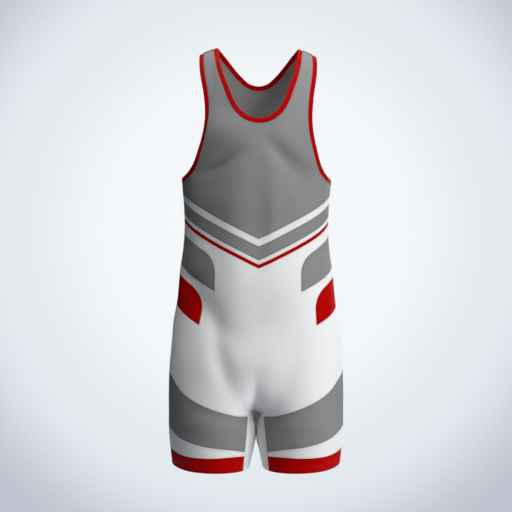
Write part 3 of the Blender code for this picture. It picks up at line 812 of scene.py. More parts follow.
def make_loops_group():
    """Height of the loops, 0 to 1. Purl 0 is the face of the cloth and 1 its wrong side."""
    tree, given, result = new_group(
        "knit loops",
        (("Wale", FLOAT, WALE), ("Course", FLOAT, COURSE), ("Purl", FLOAT, 0.0)),
        (("Height", FLOAT),),
    )
    place, x, y = flat_place(tree)
    wale = math(tree, "DIVIDE", x, given["Wale"])
    course = math(tree, "DIVIDE", y, given["Course"])
    from_middle = math(tree, "MULTIPLY", math(tree, "PINGPONG", wale, 0.5), 2.0)
    leg_side = math(tree, "SUBTRACT", math(tree, "MULTIPLY", from_middle, 2.0), 1.0)
    leg = math(tree, "SUBTRACT", 1.0, math(tree, "MULTIPLY", leg_side, leg_side))
    slant = math(tree, "MULTIPLY_ADD", from_middle, 0.5, course)
    row = math(tree, "COSINE", math(tree, "MULTIPLY", slant, FULL_TURN))
    face = math(tree, "MULTIPLY", leg, math(tree, "MULTIPLY_ADD", row, ROW_DIP, 1.0 - ROW_DIP))
    arc = math(tree, "COSINE", math(tree, "MULTIPLY", wale, FULL_TURN))
    bent_row = math(tree, "MULTIPLY_ADD", arc, ARC_BEND, course)
    wrong = math(tree, "COSINE", math(tree, "MULTIPLY", bent_row, FULL_TURN))
    wrong = math(tree, "MULTIPLY_ADD", wrong, 0.5, 0.5)
    share = math(tree, "SUBTRACT", wrong, face)
    feed(tree, result, {"Height": math(tree, "MULTIPLY_ADD", share, given["Purl"], face)})
    return tree


LOOPS = make_loops_group()
print("group:", LOOPS.name)

# %% Node group: dye and painted shade
CLOUDS_A_METRE = 14.0
SPECKS_A_METRE = 900.0
SEAM_FALLOFF = 3.0


def make_dye_and_shade_group():
    """A colour that varies a little over the cloth, with painted shade that darkens it between the loops and
    next to seams.
    """
    tree, given, result = new_group(
        "dye and painted shade",
        (("Color", COLOUR, (1.0, 1.0, 1.0, 1.0)), ("Spread", FLOAT, 0.05), ("Height", FLOAT, 1.0),
         ("Loop Shade", FLOAT, 0.1), ("Seam Shade", FLOAT, 0.1)),
        (("Color", COLOUR),),
    )
    place, x, y = flat_place(tree)
    broad = math(tree, "SUBTRACT", noise(tree, place, CLOUDS_A_METRE), 0.5)
    fine = math(tree, "SUBTRACT", noise(tree, place, SPECKS_A_METRE, 1.0), 0.5)
    vary = math(tree, "MULTIPLY_ADD", math(tree, "ADD", broad, fine), given["Spread"], 1.0)
    # Painted shade: the colour is darkened in the valleys between the knit loops
    valley = math(tree, "SUBTRACT", 1.0, given["Height"])
    between = math(tree, "SUBTRACT", 1.0, math(tree, "MULTIPLY", valley, given["Loop Shade"]))
    # Painted shade: the colour is darkened next to seams
    close = math(tree, "POWER", near_seam(tree), SEAM_FALLOFF)
    seam = math(tree, "SUBTRACT", 1.0, math(tree, "MULTIPLY", close, given["Seam Shade"]))
    tone_and_shade = math(tree, "MULTIPLY", math(tree, "MULTIPLY", vary, between), seam)
    scaled = add_node(tree, "VectorMath", {0: given["Color"], "Scale": tone_and_shade}, operation="SCALE")[0]
    feed(tree, result, {"Color": scaled})
    return tree


DYE_AND_SHADE = make_dye_and_shade_group()
print("group:", DYE_AND_SHADE.name)

# %% Node group: puckers and slack
PUCKERS_A_METRE = 150.0
SLACK_A_METRE = 34.0


def make_pucker_group():
    """Height in millimetres of the small puckers that sewing leaves, and of the cloth's slight unevenness."""
    tree, given, result = new_group(
        "seam puckers",
        (("Puckers", FLOAT, 0.3), ("Slack", FLOAT, 0.2)),
        (("Height", FLOAT),),
    )
    place, x, y = flat_place(tree)
    waves = math(tree, "SUBTRACT", noise(tree, place, PUCKERS_A_METRE, 1.0), 0.5)
    puckers = math(tree, "MULTIPLY", math(tree, "MULTIPLY", waves, near_seam(tree)), given["Puckers"])
    slack = math(tree, "MULTIPLY", noise(tree, place, SLACK_A_METRE), given["Slack"])
    feed(tree, result, {"Height": math(tree, "ADD", puckers, slack)})
    return tree


PUCKERS = make_pucker_group()
print("group:", PUCKERS.name)

# %% [markdown]
# The Principled shader itself stays in each material, with the numbers that are the same all over set on
# its own sockets. The red dye is so deep that even the cloth's gloss is tinted by it.

# %% Materials of the cloth
LOOP_HEIGHT = 0.035
MILLIMETRE = 0.001


def make_cloth(name, colour, purl=0.0, spread=0.05, loop_shade=0.12, seam_shade=0.12, roughness=0.62,
               wale=WALE, course=COURSE, gloss=0.20, tint=1.0, puckers=0.34, slack=0.25):
    """A jersey in one colour, with painted shade between its loops and next to seams. Wale and course are in
    metres, puckers and slack in millimetres.
    """
    material, tree, shader = new_material(name)
    height = add_node(tree, "Group", node_tree=LOOPS, feeds={"Wale": wale, "Course": course, "Purl": purl})[0]
    dye_and_shade = add_node(tree, "Group", node_tree=DYE_AND_SHADE, feeds={
        "Color": (*colour, 1.0), "Spread": spread, "Height": height,
        "Loop Shade": loop_shade, "Seam Shade": seam_shade,
    })[0]
    uneven = add_node(tree, "Group", node_tree=PUCKERS, feeds={"Puckers": puckers, "Slack": slack})[0]
    relief = math(tree, "MULTIPLY_ADD", height, LOOP_HEIGHT, uneven)
    bump = add_node(tree, "Bump", {"Height": relief, "Distance": MILLIMETRE, "Strength": 1.0})[0]
    feed(tree, shader, {
        "Base Color": dye_and_shade, "Normal": bump, "Roughness": roughness,
        "Specular IOR Level": gloss, "Specular Tint": (1.0, tint, tint, 1.0),
    })
    return material


GREY = (0.228, 0.228, 0.228)
WHITE = (0.785, 0.785, 0.785)
RED = (0.420, 0.0006, 0.0006)
BINDING_RED = (0.400, 0.0006, 0.0006)
KNITS = {
    "grey": make_cloth("grey knit", GREY),
    "white": make_cloth("white knit", WHITE, spread=0.02, loop_shade=0.06, seam_shade=0.10),
    "red": make_cloth("red knit", RED, spread=0.06, gloss=0.10, tint=0.02),
}
WRONG_SIDES = {
    "grey": make_cloth("grey knit, wrong side", GREY, 1.0, roughness=0.75),
    "white": make_cloth("white knit, wrong side", WHITE, 1.0, roughness=0.75, spread=0.02, loop_shade=0.06),
    "red": make_cloth("red knit, wrong side", RED, 1.0, roughness=0.75, gloss=0.10, tint=0.02),
}
BINDING = make_cloth("red binding", BINDING_RED, roughness=0.55, wale=0.0006, course=0.0011, loop_shade=0.2,
                     gloss=0.15, tint=0.02, puckers=0.0, slack=0.10)
print("cloth materials:", len(KNITS) + len(WRONG_SIDES) + 1)

# %% [markdown]
# ## Cloth with two sides
#
# Each panel is filled with points: three rows close along its edge, which carry the soft roll that a sewn
# edge has, and a lattice of staggered rows within. A constrained Delaunay triangulation joins them. The
# points are then laid on the form twice, once for each side of the cloth. Solidify could make the second
# side too, but its edges would lean over the seams, so both sides take their direction from the form
# itself.

# %% Fill an outline with points
EDGE_ROWS = (0.00035, 0.0010, 0.0024)
LATTICE_STEP = 0.0036
LATTICE_MARGIN = 0.0040
LATTICE_ROW = 0.87 * LATTICE_STEP  # triangles with nearly equal sides
KEPT_SHARE = 0.9
BLOCK = 1500


def edge_distance(outline, points):
    """How far each point is from a closed outline."""
    edge = np.roll(outline, -1, axis=0) - outline
    size = np.sum(edge**2, axis=1)
    found = np.empty(len(points))
    for start in range(0, len(points), BLOCK):
        offset = points[start:start + BLOCK, None] - outline
        share = np.clip(np.sum(offset * edge, axis=2) / size, 0.0, 1.0)
        gap = offset - share[..., None] * edge
        found[start:start + BLOCK] = np.sqrt(np.sum(gap**2, axis=2).min(axis=1))
    return found


def is_inside(outline, points):
    """Whether each point lies inside a closed outline: a ray from it crosses an odd number of edges."""
    x0, y0 = outline.T
    x1, y1 = np.roll(outline, -1, axis=0).T
    found = np.empty(len(points), dtype=bool)
    for start in range(0, len(points), BLOCK):
        x, y = points[start:start + BLOCK, 0, None], points[start:start + BLOCK, 1, None]
        crosses = (y0 > y) != (y1 > y)
        meets = x0 + (y - y0) * (x1 - x0) / np.where(y1 == y0, 1.0, y1 - y0)
        found[start:start + BLOCK] = np.sum(crosses & (x < meets), axis=1) % 2 == 1
    return found


def filling_points(outline):
    """Rows along the edge and a staggered lattice, each clear of the edge."""
    rows = []
    for distance in EDGE_ROWS:
        row = shifted(outline, distance)
        row = row[is_inside(outline, row)]
        rows.append(row[edge_distance(outline, row) > KEPT_SHARE * distance])
    low, high = outline.min(axis=0), outline.max(axis=0)
    columns, levels = np.meshgrid(
        np.arange(low[0], high[0], LATTICE_STEP),
        np.arange(low[1], high[1], LATTICE_ROW),
    )
    columns[1::2] += LATTICE_STEP / 2.0
    lattice = np.column_stack((columns.ravel(), levels.ravel()))
    lattice = lattice[is_inside(outline, lattice)]
    rows.append(lattice[edge_distance(outline, lattice) > LATTICE_MARGIN])
    return np.vstack(rows)


print("points in a side inset:", len(filling_points(inset_outline(*SIDE_INSETS[1][1:4]))))

# %% [markdown]
# A cloth wall is a mesh with both sides and the cut edge between them. It also carries what the materials
# need: a UV map named `cloth` in metres, so that the knit runs along each panel as it does on the real one,
# a map for baking, and a number for each point that says how near it is to a seam.

# %% New pieces
singlet = bpy.data.collections.new("singlet")
bpy.context.scene.collection.children.link(singlet)


def new_piece(name, points, triangles, materials):
    """A smooth-shaded mesh object, in the garment's stance, from arrays of points and triangles."""
    mesh = bpy.data.meshes.new(name)
    mesh.vertices.add(len(points))
    mesh.vertices.foreach_set("co", stand(points).astype(np.float32).ravel())
    mesh.loops.add(3 * len(triangles))
    mesh.loops.foreach_set("vertex_index", np.asarray(triangles, dtype=np.int32).ravel())
    mesh.polygons.add(len(triangles))
    mesh.polygons.foreach_set("loop_start", np.arange(0, 3 * len(triangles), 3, dtype=np.int32))
    mesh.update(calc_edges=True)
    for material in materials:
        mesh.materials.append(material)
    mesh.shade_smooth()
    piece = bpy.data.objects.new(name, mesh)
    singlet.objects.link(piece)
    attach(piece, "root")
    return piece


def add_map(mesh, name, per_corner):
    """A UV map from one pair of numbers for each corner of each triangle."""
    layer = mesh.uv_layers.new(name=name)
    layer.uv.foreach_set("vector", per_corner.astype(np.float32).ravel())


def add_number(mesh, name, per_vertex):
    """A number for each vertex, which materials read by its name."""
    layer = mesh.attributes.new(name, "FLOAT", "POINT")
    layer.data.foreach_set("value", per_vertex.astype(np.float32))


print("collection:", singlet.name)

# %% Flat size of a piece
NARROWEST_CUT = 0.0100
STRIP_FILL = 0.33
cut = {}


def boundary_edges(triangles):
    """Directed edges that no other triangle runs the other way."""
    sides = np.vstack([triangles[:, pair] for pair in ((0, 1), (1, 2), (2, 0))]).astype(np.int64)
    size = triangles.max() + 1
    forward = sides[:, 0] * size + sides[:, 1]
    backward = sides[:, 1] * size + sides[:, 0]
    return sides[~np.isin(forward, backward)]


def cut_size(flat, outside, triangles):
    """Width, length and area of the flat cut. A narrow bent strip is measured along itself."""
    a, b, c = (outside[triangles[:, k]] for k in range(3))
    area = 0.5 * np.linalg.norm(np.cross(b - a, c - a), axis=1).sum()
    width, length = np.ptp(flat, axis=0)
    if area < STRIP_FILL * width * length:
        edge = flat[boundary_edges(triangles)]
        length = 0.5 * np.linalg.norm(edge[:, 1] - edge[:, 0], axis=1).sum()
        width = area / length
    width, length = max(width, NARROWEST_CUT), max(length, NARROWEST_CUT)
    return width, length, min(area, width * length)


def declare(piece, name, slot, width, length, area):
    """Hide the node that a piece stands for and keep the flat size that it was cut to. The piece and the slot
    are not used.
    """
    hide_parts(name)
    cut[name] = (width, length, area)


print("narrowest cut to state:", NARROWEST_CUT * 1000, "mm")

# %% Make a wall
EDGE_ROLL = 0.00045
ROLL_WIDTH = 0.0010
ROLL_FULLNESS = 0.999
SEAM_REACH = 0.0075
BAKE_MARGIN = 0.01


def roll(distance):
    """How far the face of the cloth drops towards a seam."""
    t = 1.0 - np.clip(distance / ROLL_WIDTH, 0.0, 1.0)
    return EDGE_ROLL * (1.0 - np.sqrt(1.0 - ROLL_FULLNESS * t**2))


def bake_places(flat):
    """Places in a unit square: the face on its left half and the wrong side on its right half."""
    low, high = flat.min(axis=0), flat.max(axis=0)
    room = np.array((0.5, 1.0)) - 2.0 * BAKE_MARGIN
    left = BAKE_MARGIN + room * (flat - low) / (high - low)
    return np.vstack((left, left + (0.5, 0.0)))


def add_wall(name, cloth, outside, normals, flat, to_seam, triangles, thickness):
    """A wall of cloth from its outside points, with everything the materials read."""
    count = len(outside)
    a, b = boundary_edges(triangles).T
    edge = np.vstack((np.column_stack((b, a, a + count)), np.column_stack((b, a + count, b + count))))
    faces = np.vstack((triangles, triangles[:, ::-1] + count, edge))
    points = np.vstack((outside, outside - thickness[:, None] * normals))
    piece = new_piece(f"{name}_cloth", points, faces, (KNITS[cloth], WRONG_SIDES[cloth]))
    sides = np.zeros(len(faces), dtype=np.int32)
    sides[len(triangles):2 * len(triangles)] = 1
    piece.data.polygons.foreach_set("material_index", sides)
    add_map(piece.data, "OFBake", bake_places(flat)[faces.ravel()])
    add_map(piece.data, "cloth", np.vstack((flat, flat))[faces.ravel()])
    near = 1.0 - smooth_step(to_seam / SEAM_REACH)
    add_number(piece.data, "near_seam", np.concatenate((near, near)))
    declare(piece, name, f"{cloth}_knit", *cut_size(flat, outside, triangles))
    print(f"{name}: {len(faces)} triangles, {cut[name][2] * 1e4:.0f} cm2")

# %% Lay a panel
HEM_FOLD = 0.0009
HEM_DEPTH = 0.0220
HEM_STEP = 0.0012
TRIANGLES_INSIDE = 1
WELD = 1e-7
laid = {}


def hem_level(across):
    """Height of the hem below each across."""
    across = np.mod(across, 4.0 * QUARTER)
    return leg_line("hem", np.minimum(across, 4.0 * QUARTER - across))[:, 1]


def wall_thickness(above_hem):
    """The hem is turned up inside, so the cloth is thicker there."""
    return WALL + HEM_FOLD * smooth_step((HEM_DEPTH - above_hem) / HEM_STEP + 0.5)


def lay_panel(name, outline, cloth):
    """Cut a panel to its outline, less half the seam gap, and lay it on the form."""
    laid[name] = (outline, cloth)
    edge = shifted(outline, SEAM_GAP / 2.0)
    points = np.vstack((edge, filling_points(edge)))
    border = [list(range(len(edge)))]
    flat, unused, faces = delaunay_2d_cdt(points.tolist(), [], border, TRIANGLES_INSIDE, WELD)[:3]
    flat = np.array([tuple(point) for point in flat])
    triangles = np.array([tuple(face) for face in faces], dtype=np.int64)
    across, up = flat.T
    to_seam = edge_distance(edge, flat)
    drop = roll(to_seam)
    thickness = wall_thickness(up - hem_level(across)) - drop
    outside = cloth_points(across, up, -drop)
    add_wall(name, cloth, outside, form_normals(across, up), flat, to_seam, triangles, thickness)


def lay_pair(name, outline, cloth):
    """The same panel on the left side and, mirrored about the centre back, on the right side."""
    lay_panel(f"{name}_left", outline, cloth)
    lay_panel(f"{name}_right", mirrored(outline, 2.0 * QUARTER), cloth)

# %% [markdown]
# ## Yokes, chevron and body
#
# The grey yokes come first, then the four strips of the chevron, front and back, and the white body panels.
# A pattern cutter would cut these same pieces.

# %% Yokes
lay_panel("front_yoke", yoke_outline(False), "grey")
lay_panel("back_yoke", yoke_outline(True), "grey")

# %% Chevron strips
stripe_heights = [top for name, top, cloth in STRIPES] + [STRIPES_END]
for (stripe, top, cloth), bottom in zip(STRIPES, stripe_heights[1:]):
    lay_panel(f"front_band_{stripe}", stripe_outline(top, bottom, -QUARTER), cloth)
    lay_panel(f"back_band_{stripe}", stripe_outline(top, bottom, QUARTER), cloth)

# %% Body panels
lay_panel("front_body", body_outline(0.0), "white")
lay_panel("back_body", body_outline(2.0 * QUARTER), "white")

# %% [markdown]
# The side insets are let into both body panels across the side seam, so each is one piece that bends round
# the side. The leg bands wrap round the outside of each leg from one gusset seam to the other.

# %% Side insets and leg bands
for inset, *sizes, cloth in SIDE_INSETS:
    lay_pair(f"side_{inset}", inset_outline(*sizes), cloth)
lay_pair("leg_grey", leg_outline("grey_top", "grey_bottom"), "grey")
lay_pair("leg_white", leg_outline("grey_bottom", "hem_top"), "white")
lay_pair("hem_red", leg_outline("hem_top", "hem"), "red")

# %% [markdown]
# ## Gusset
#
# One white strip lines the inside of both legs and joins them under the crotch. It has no place in the flat
# coordinates of the other panels, because it bridges from leg to leg. So it is a grid of its own: rows run
# over the crotch from hem to hem, columns from the front seam to the back seam, and the two outer columns
# lie on the seams of the panels beside it.

# %% Shape of the gusset
GUSSET_COLUMNS = 49
SHARE_STEP = 0.002
TO_RIGHT = np.array((-1.0, 1.0, 1.0))


def gusset_point(share, turn, level):
    """The outside of the gusset on the left leg. share is -1 at the front seam and 1 at the back seam."""
    back = share > 0.0
    sideways = np.sin(turn) ** GUSSET_CORNER
    upwards = np.cos(turn) ** GUSSET_CORNER
    edge_level = level + (GUSSET_TOP - LEG_TOP) * upwards
    inner = inner_x(edge_level)
    x = (inner + (seam_x(edge_level) - inner) * share**2) * sideways
    crown_drop = (CROTCH - GUSSET_TOP) * (1.0 - share**2) * upwards
    crown = np.abs(share) * section_depth(0.0, GUSSET_TOP, back)
    blend = upwards * (1.0 - share**4)
    y = (1.0 - blend) * section_depth(x, edge_level, back) + blend * crown
    return np.stack((x, np.where(back, y, -y), edge_level + crown_drop), axis=-1)


def gusset_grid():
    """Points and directions of half the gusset, from the crotch down to the left hem."""
    seam = gusset_seam()
    straight = seam[GUSSET_ROWS:, 1]
    turns = np.append(np.linspace(0.0, RIGHT_ANGLE, GUSSET_ROWS), np.full(len(straight), RIGHT_ANGLE))
    levels = np.append(np.full(GUSSET_ROWS, LEG_TOP), straight)
    place = turns[:, None], levels[:, None]
    shares = np.linspace(-1.0, 1.0, GUSSET_COLUMNS)[None]
    points = gusset_point(shares, *place)
    round_leg = gusset_point(shares + SHARE_STEP, *place) - gusset_point(shares - SHARE_STEP, *place)
    down_leg = np.gradient(points, axis=0)
    down_leg[0] = (1.0, 0.0, 0.0)
    normals = unit(np.cross(round_leg, down_leg))
    edge = shifted(seam, -SEAM_GAP / 2.0, closed=False)
    edge[0, 0] = 0.0
    for column, across in ((0, edge[:, 0]), (-1, 2.0 * QUARTER - edge[:, 0])):
        points[:, column] = form_points(across, edge[:, 1])
        normals[:, column] = form_normals(across, edge[:, 1])
    return points, normals


def grid_triangles(rows, columns):
    """Two triangles for each cell of a grid of points."""
    corner = np.arange(rows * columns).reshape(rows, columns)
    a, b, c, d = corner[:-1, :-1], corner[1:, :-1], corner[1:, 1:], corner[:-1, 1:]
    return np.concatenate([np.stack(three, -1).reshape(-1, 3) for three in ((a, b, c), (a, c, d))])


half_points, half_normals = gusset_grid()
print("half the gusset:", half_points.shape[:2], "points")

# %% Sew in the gusset
def sew_gusset():
    """The left half and its mirror image as one wall."""
    points = np.concatenate((half_points[::-1], half_points[1:] * TO_RIGHT))
    normals = np.concatenate((half_normals[::-1], half_normals[1:] * TO_RIGHT))
    down = running_total(np.linalg.norm(np.diff(points, axis=0), axis=2).mean(axis=1))
    aside = running_total(np.linalg.norm(np.diff(points, axis=1), axis=2).mean(axis=0))
    flat = np.stack(np.meshgrid(aside, down), axis=-1)
    to_seam = np.minimum(flat[..., 0], aside[-1] - flat[..., 0])
    drop = roll(to_seam)
    thickness = wall_thickness(points[..., 2] - HEM) - drop
    outside = (points - drop[..., None] * normals).reshape(-1, 3)
    triangles = grid_triangles(*to_seam.shape)
    add_wall("gusset", "white", outside, normals.reshape(-1, 3), flat.reshape(-1, 2), to_seam.ravel(),
             triangles, thickness.ravel())


sew_gusset()

# %% [markdown]
# ## Bindings
#
# Neck and armholes are bound: a strip of red knit is folded over the cut edge and stitched down through all
# layers. Each is a closed ring. Its section is a flat loop with a round fold at the opening, pressed in a
# little along its two rows of stitches, and it ripples slightly because the tape was stretched as it was
# sewn.

# %% Section of the folded tape
FOLD_RADIUS = 0.0012
FOLD_POINTS = 6
FACE_POINTS = 14
TURNED_EDGE = 0.0007
TURNED_DROP = 0.0005
STITCH_ROWS = (0.0023, 0.0062)
ROW_DENT = 0.00016
DENT_WIDTH = 0.0006


def binding_profile():
    """Section of the tape: distance from the opening, and height over the middle of the wall."""
    flat_end = BINDING_WIDTH - SEAM_GAP / 2.0 - TURNED_EDGE
    turn = np.linspace(0.0, RIGHT_ANGLE, FOLD_POINTS)
    fold = np.column_stack((FOLD_RADIUS * (1.0 - np.cos(turn)), BINDING_HALF_THICKNESS * np.sin(turn)))
    top = np.linspace(FOLD_RADIUS, flat_end, FACE_POINTS + 1)[1:]
    dents = sum(np.exp(-(((top - row) / DENT_WIDTH) ** 2)) for row in STITCH_ROWS)
    face = np.column_stack((top, BINDING_HALF_THICKNESS - ROW_DENT * dents))
    turned = np.column_stack((
        flat_end + TURNED_EDGE * np.sin(turn[1:]),
        BINDING_HALF_THICKNESS - TURNED_DROP * (1.0 - np.cos(turn[1:])),
    ))
    upper = np.vstack((fold, face, turned))
    return np.vstack((upper, upper[:0:-1] * (1.0, -1.0)))


TAPE = binding_profile()
print("points round the tape:", len(TAPE))

# %% Bind a ring
RIPPLE = 0.00022
RIPPLE_LENGTH = 0.0115
RIPPLE_DRIFT = 1.9
RIPPLES_A_DRIFT = 4
RIPPLE_AT_EDGE = 0.3


def ripple(share, length, distance):
    """Uneven small waves of the tape, strongest next to the fold. share is a share of the ring's length."""
    waves = round(length / RIPPLE_LENGTH)
    uneven = RIPPLE_DRIFT * np.sin(FULL_TURN * round(waves / RIPPLES_A_DRIFT) * share)
    towards_fold = 1.0 - np.clip(distance / BINDING_WIDTH, 0.0, 1.0)
    strength = RIPPLE_AT_EDGE + (1.0 - RIPPLE_AT_EDGE) * towards_fold
    return RIPPLE * np.sin(FULL_TURN * waves * share + uneven) * strength


def tube_faces(rings, sides):
    """Triangles of a closed ring-shaped tube, as places in a grid that has the first row and column twice."""
    places = grid_triangles(rings + 1, sides + 1)
    row, column = np.divmod(places, sides + 1)
    return places, (row % rings) * sides + column % sides


def closed_lengths(line):
    """Length along a closed line at each of its points, and at its first point once more."""
    return lengths_along(np.vstack((line, line[:1])))


def ring_lengths(moved_line):
    """Length along the middle of the tape, measured on the form."""
    return closed_lengths(form_points(*strap_coordinates(moved_line(0.5 * BINDING_WIDTH))))


def ring_points(moved_line, distance, height, share, length):
    """One line of the tape, all the way round."""
    across, up = strap_coordinates(moved_line(distance))
    return cloth_points(across, up, height - WALL / 2.0 + ripple(share, length, distance))


def add_binding(name, moved_line, flip=False, mirror=False):
    """A closed ring of folded tape. moved_line(distance) is the opening's line moved towards the cloth."""
    along = ring_lengths(moved_line)
    length = along[-1]
    share = along[:-1] / length
    loops = [ring_points(moved_line, distance, height, share, length) for distance, height in TAPE]
    points = np.stack(loops, axis=1) * (TO_RIGHT if mirror else 1.0)
    places, triangles = tube_faces(*points.shape[:2])
    if flip:
        places, triangles = places[:, ::-1], triangles[:, ::-1]
    piece = new_piece(f"{name}_tape", points.reshape(-1, 3), triangles, (BINDING,))
    girth = closed_lengths(TAPE)
    flat = np.stack(np.meshgrid(girth, along), axis=-1).reshape(-1, 2)
    add_map(piece.data, "cloth", flat[places.ravel()])
    declare(piece, name, "red_binding", girth[-1], length, 0.5 * girth[-1] * length)
    print(f"{name}: {len(triangles)} triangles, {length * 1000:.0f} mm of tape")


def armhole_ring(distance):
    """The left armhole's opening without the point that closes it."""
    return armhole_line(distance)[:-1]


add_binding("neck_binding", neck_line, flip=True)
add_binding("armhole_binding_left", armhole_ring)
add_binding("armhole_binding_right", armhole_ring, flip=True, mirror=True)

# %% [markdown]
# ## Stitches
#
# Seams in sportswear are flat: a row of stitches runs on each side of the join, in the colour of the cloth
# it holds. A bump could hint at them, but real thread catches the light along its upper side. Each stitch
# is a short half tube that comes up out of the cloth, lies on it and goes down again. All stitches of one
# colour are one mesh, built in a few array operations.

# %% One row of stitches
STITCH = 0.0027
STITCH_PITCH = 0.0034
THREAD_RADIUS = 0.00019
SEAM_ROW = 0.0018
FEWEST_POINTS = 4
STITCH_ARCH = np.array((
    # share_of_stitch, height
    (0.00, -0.00022),
    (0.16, 0.00006),
    (0.50, 0.00010),
    (0.84, 0.00006),
    (1.00, -0.00022),
))
ROUND_THREAD = np.radians((-25.0, 50.0, 130.0, 205.0))
thread_parts = {"white": [], "grey": [], "red": [], "painted_shadow": []}


def read_along(at, along, values):
    """Read columns of values at lengths along a line."""
    return np.stack([np.interp(at, along, column) for column in values.T], axis=-1)


def sew_row(colour, points, normals, lift=0.0, radius=THREAD_RADIUS):
    """A row of stitches along a line of points on the cloth. Returns how many."""
    along = lengths_along(points)
    count = int(along[-1] / STITCH_PITCH)
    if count < 1:
        return 0
    shares, heights = STITCH_ARCH.T
    starts = (along[-1] - count * STITCH_PITCH) / 2.0 + STITCH_PITCH * np.arange(count)
    at = starts[:, None] + shares * STITCH
    centre = read_along(at, along, points)
    out = unit(read_along(at, along, normals))
    side = unit(np.cross(out, centre[:, -1:] - centre[:, :1]))
    centre = centre + (heights + lift)[..., None] * out
    ring = np.cos(ROUND_THREAD)[:, None] * side[:, :, None] + np.sin(ROUND_THREAD)[:, None] * out[:, :, None]
    thread_parts[colour].append((centre[:, :, None] + radius * ring).reshape(count, -1, 3))
    return count


def on_cloth(line):
    """Points and directions along a line in cloth coordinates."""
    return cloth_points(*line.T), form_normals(*line.T)


def runs(line, keep):
    """The stretches of a closed line that are kept, each with at least a few points."""
    if keep.all():
        return [np.vstack((line, line[:1]))]
    start = int(np.argmin(keep))
    line, keep = np.roll(line, -start, axis=0), np.roll(keep, -start)
    breaks = np.flatnonzero(np.diff(keep.astype(int))) + 1
    parts = zip(np.split(line, breaks), keep[np.append(0, breaks)])
    return [part for part, kept in parts if kept and len(part) >= FEWEST_POINTS]

# %% Sew the panels
ROW_CLEARANCE = 1.3
ABOVE_HEM = 0.003


def clear_of_bindings(row):
    """Rows run along seams between panels, not along the bindings, which have rows of their own."""
    lines = [neck_seam(False), neck_seam(True), below_ridge(armhole_line(BINDING_WIDTH))]
    lines += [line * (-1.0, 1.0) for line in lines]
    marks = np.vstack([line + (middle, 0.0) for line in lines for middle in (0.0, 2.0 * QUARTER)])
    gaps = np.array([np.hypot(*(marks - point).T).min() for point in row])
    return gaps > ROW_CLEARANCE * SEAM_ROW


def above_hem(row):
    """Rows down the sides of the leg bands end just above the hem's edge."""
    return row[:, 1] > hem_level(row[:, 0]) + ABOVE_HEM


def sew_panels():
    """A row of stitches just inside each panel's outline. Returns how many stitches."""
    total = 0
    for name, (outline, colour) in laid.items():
        row = shifted(outline, SEAM_ROW)
        row = row[edge_distance(outline, row) > KEPT_SHARE * SEAM_ROW]
        kept = clear_of_bindings(row) if "yoke" in name else above_hem(row)
        total += sum(sew_row(colour, *on_cloth(part)) for part in runs(row, kept))
    return total


print("stitches on the panels:", sew_panels())

# %% Sew hems and gusset
HEM_ROWS = (0.0188, 0.0214)
ROW_END = 0.001
CROTCH_POINTS = 2


def sew_both_legs(colour, points, normals):
    """A row on the left leg and its mirror image on the right leg."""
    return sew_row(colour, points, normals) + sew_row(colour, points * TO_RIGHT, normals * TO_RIGHT)


def sew_hems():
    """Two rows round each hem, red on the bands and white on the gusset."""
    total = 0
    across = even_steps(GUSSET_SEAM + ROW_END, 2.0 * QUARTER - GUSSET_SEAM - ROW_END)
    for row in HEM_ROWS:
        total += sew_both_legs("red", *on_cloth(leg_line("hem", across) + (0.0, row)))
        levels = half_points[:, GUSSET_COLUMNS // 2, 2]
        nearest = int(np.argmin(np.abs(levels - HEM - row)))
        total += sew_both_legs("white", half_points[nearest, 1:-1], half_normals[nearest, 1:-1])
    return total


def sew_gusset_rows():
    """A row on each side of the gusset, from the crotch down to each hem."""
    total = 0
    for edge, within in ((0, 1), (-1, -2)):
        inwards = unit(half_points[:, within] - half_points[:, edge])
        line = half_points[:, edge] + inwards * SEAM_ROW
        kept = line[:, 2] > HEM + ABOVE_HEM
        line, out = line[kept], half_normals[kept, within]
        total += sew_both_legs("white", line[CROTCH_POINTS:], out[CROTCH_POINTS:])
    return total


print("stitches on hems and gusset:", sew_hems(), sew_gusset_rows())

# %% [markdown]
# Front and back straps are joined on the shoulder under a covering stitch of thick thread. Its near-black
# colour is a painted shadow, which shows as a thin line of shade along the ridge. It is made like the other
# rows, only thicker and standing higher, and two rows lie side by side.

# %% Sew the shoulder seams
SHOULDER_ROWS = (0.0003, 0.0013)
SHOULDER_THREAD = 0.0009
SHOULDER_LIFT = 0.0010
SHOULDER_SPACING = 0.0008
NECK_AT_RIDGE = 10


def sew_shoulders():
    """Rows of raised near-black thread, a painted shadow line, on both sides of the ridge. Returns how many
    stitches.
    """
    start = NECK_EDGE[NECK_AT_RIDGE, 0] + BINDING_WIDTH
    end = ARMHOLE_EDGE[-1, 0] - BINDING_WIDTH
    across = even_steps(start, end, SHOULDER_SPACING)
    total = 0
    for middle in (0.0, 2.0 * QUARTER):
        for below in SHOULDER_ROWS:
            line = np.column_stack((middle + across, np.full_like(across, RIDGE - below)))
            for side in (line, mirrored(line, middle)):
                total += sew_row("painted_shadow", *on_cloth(side), SHOULDER_LIFT, SHOULDER_THREAD)
    return total


print("stitches on the shoulders:", sew_shoulders())

# %% Sew the bindings, outside and inside
def sew_binding(moved_line, mirror=False):
    """Two rows on each face of a tape. Returns how many stitches."""
    total = 0
    along = ring_lengths(moved_line)
    share = along[:-1] / along[-1]
    flip = TO_RIGHT if mirror else 1.0
    for distance in STITCH_ROWS:
        out = form_normals(*strap_coordinates(moved_line(distance)))
        for side in (1.0, -1.0):
            height = side * (BINDING_HALF_THICKNESS - ROW_DENT)
            points = ring_points(moved_line, distance, height, share, along[-1])
            points = np.vstack((points, points[:1])) * flip
            total += sew_row("red", points, side * np.vstack((out, out[:1])) * flip)
    return total


print("stitches on the neck binding:", sew_binding(neck_line))
print("stitches on the armhole bindings:", sew_binding(armhole_ring), sew_binding(armhole_ring, True))

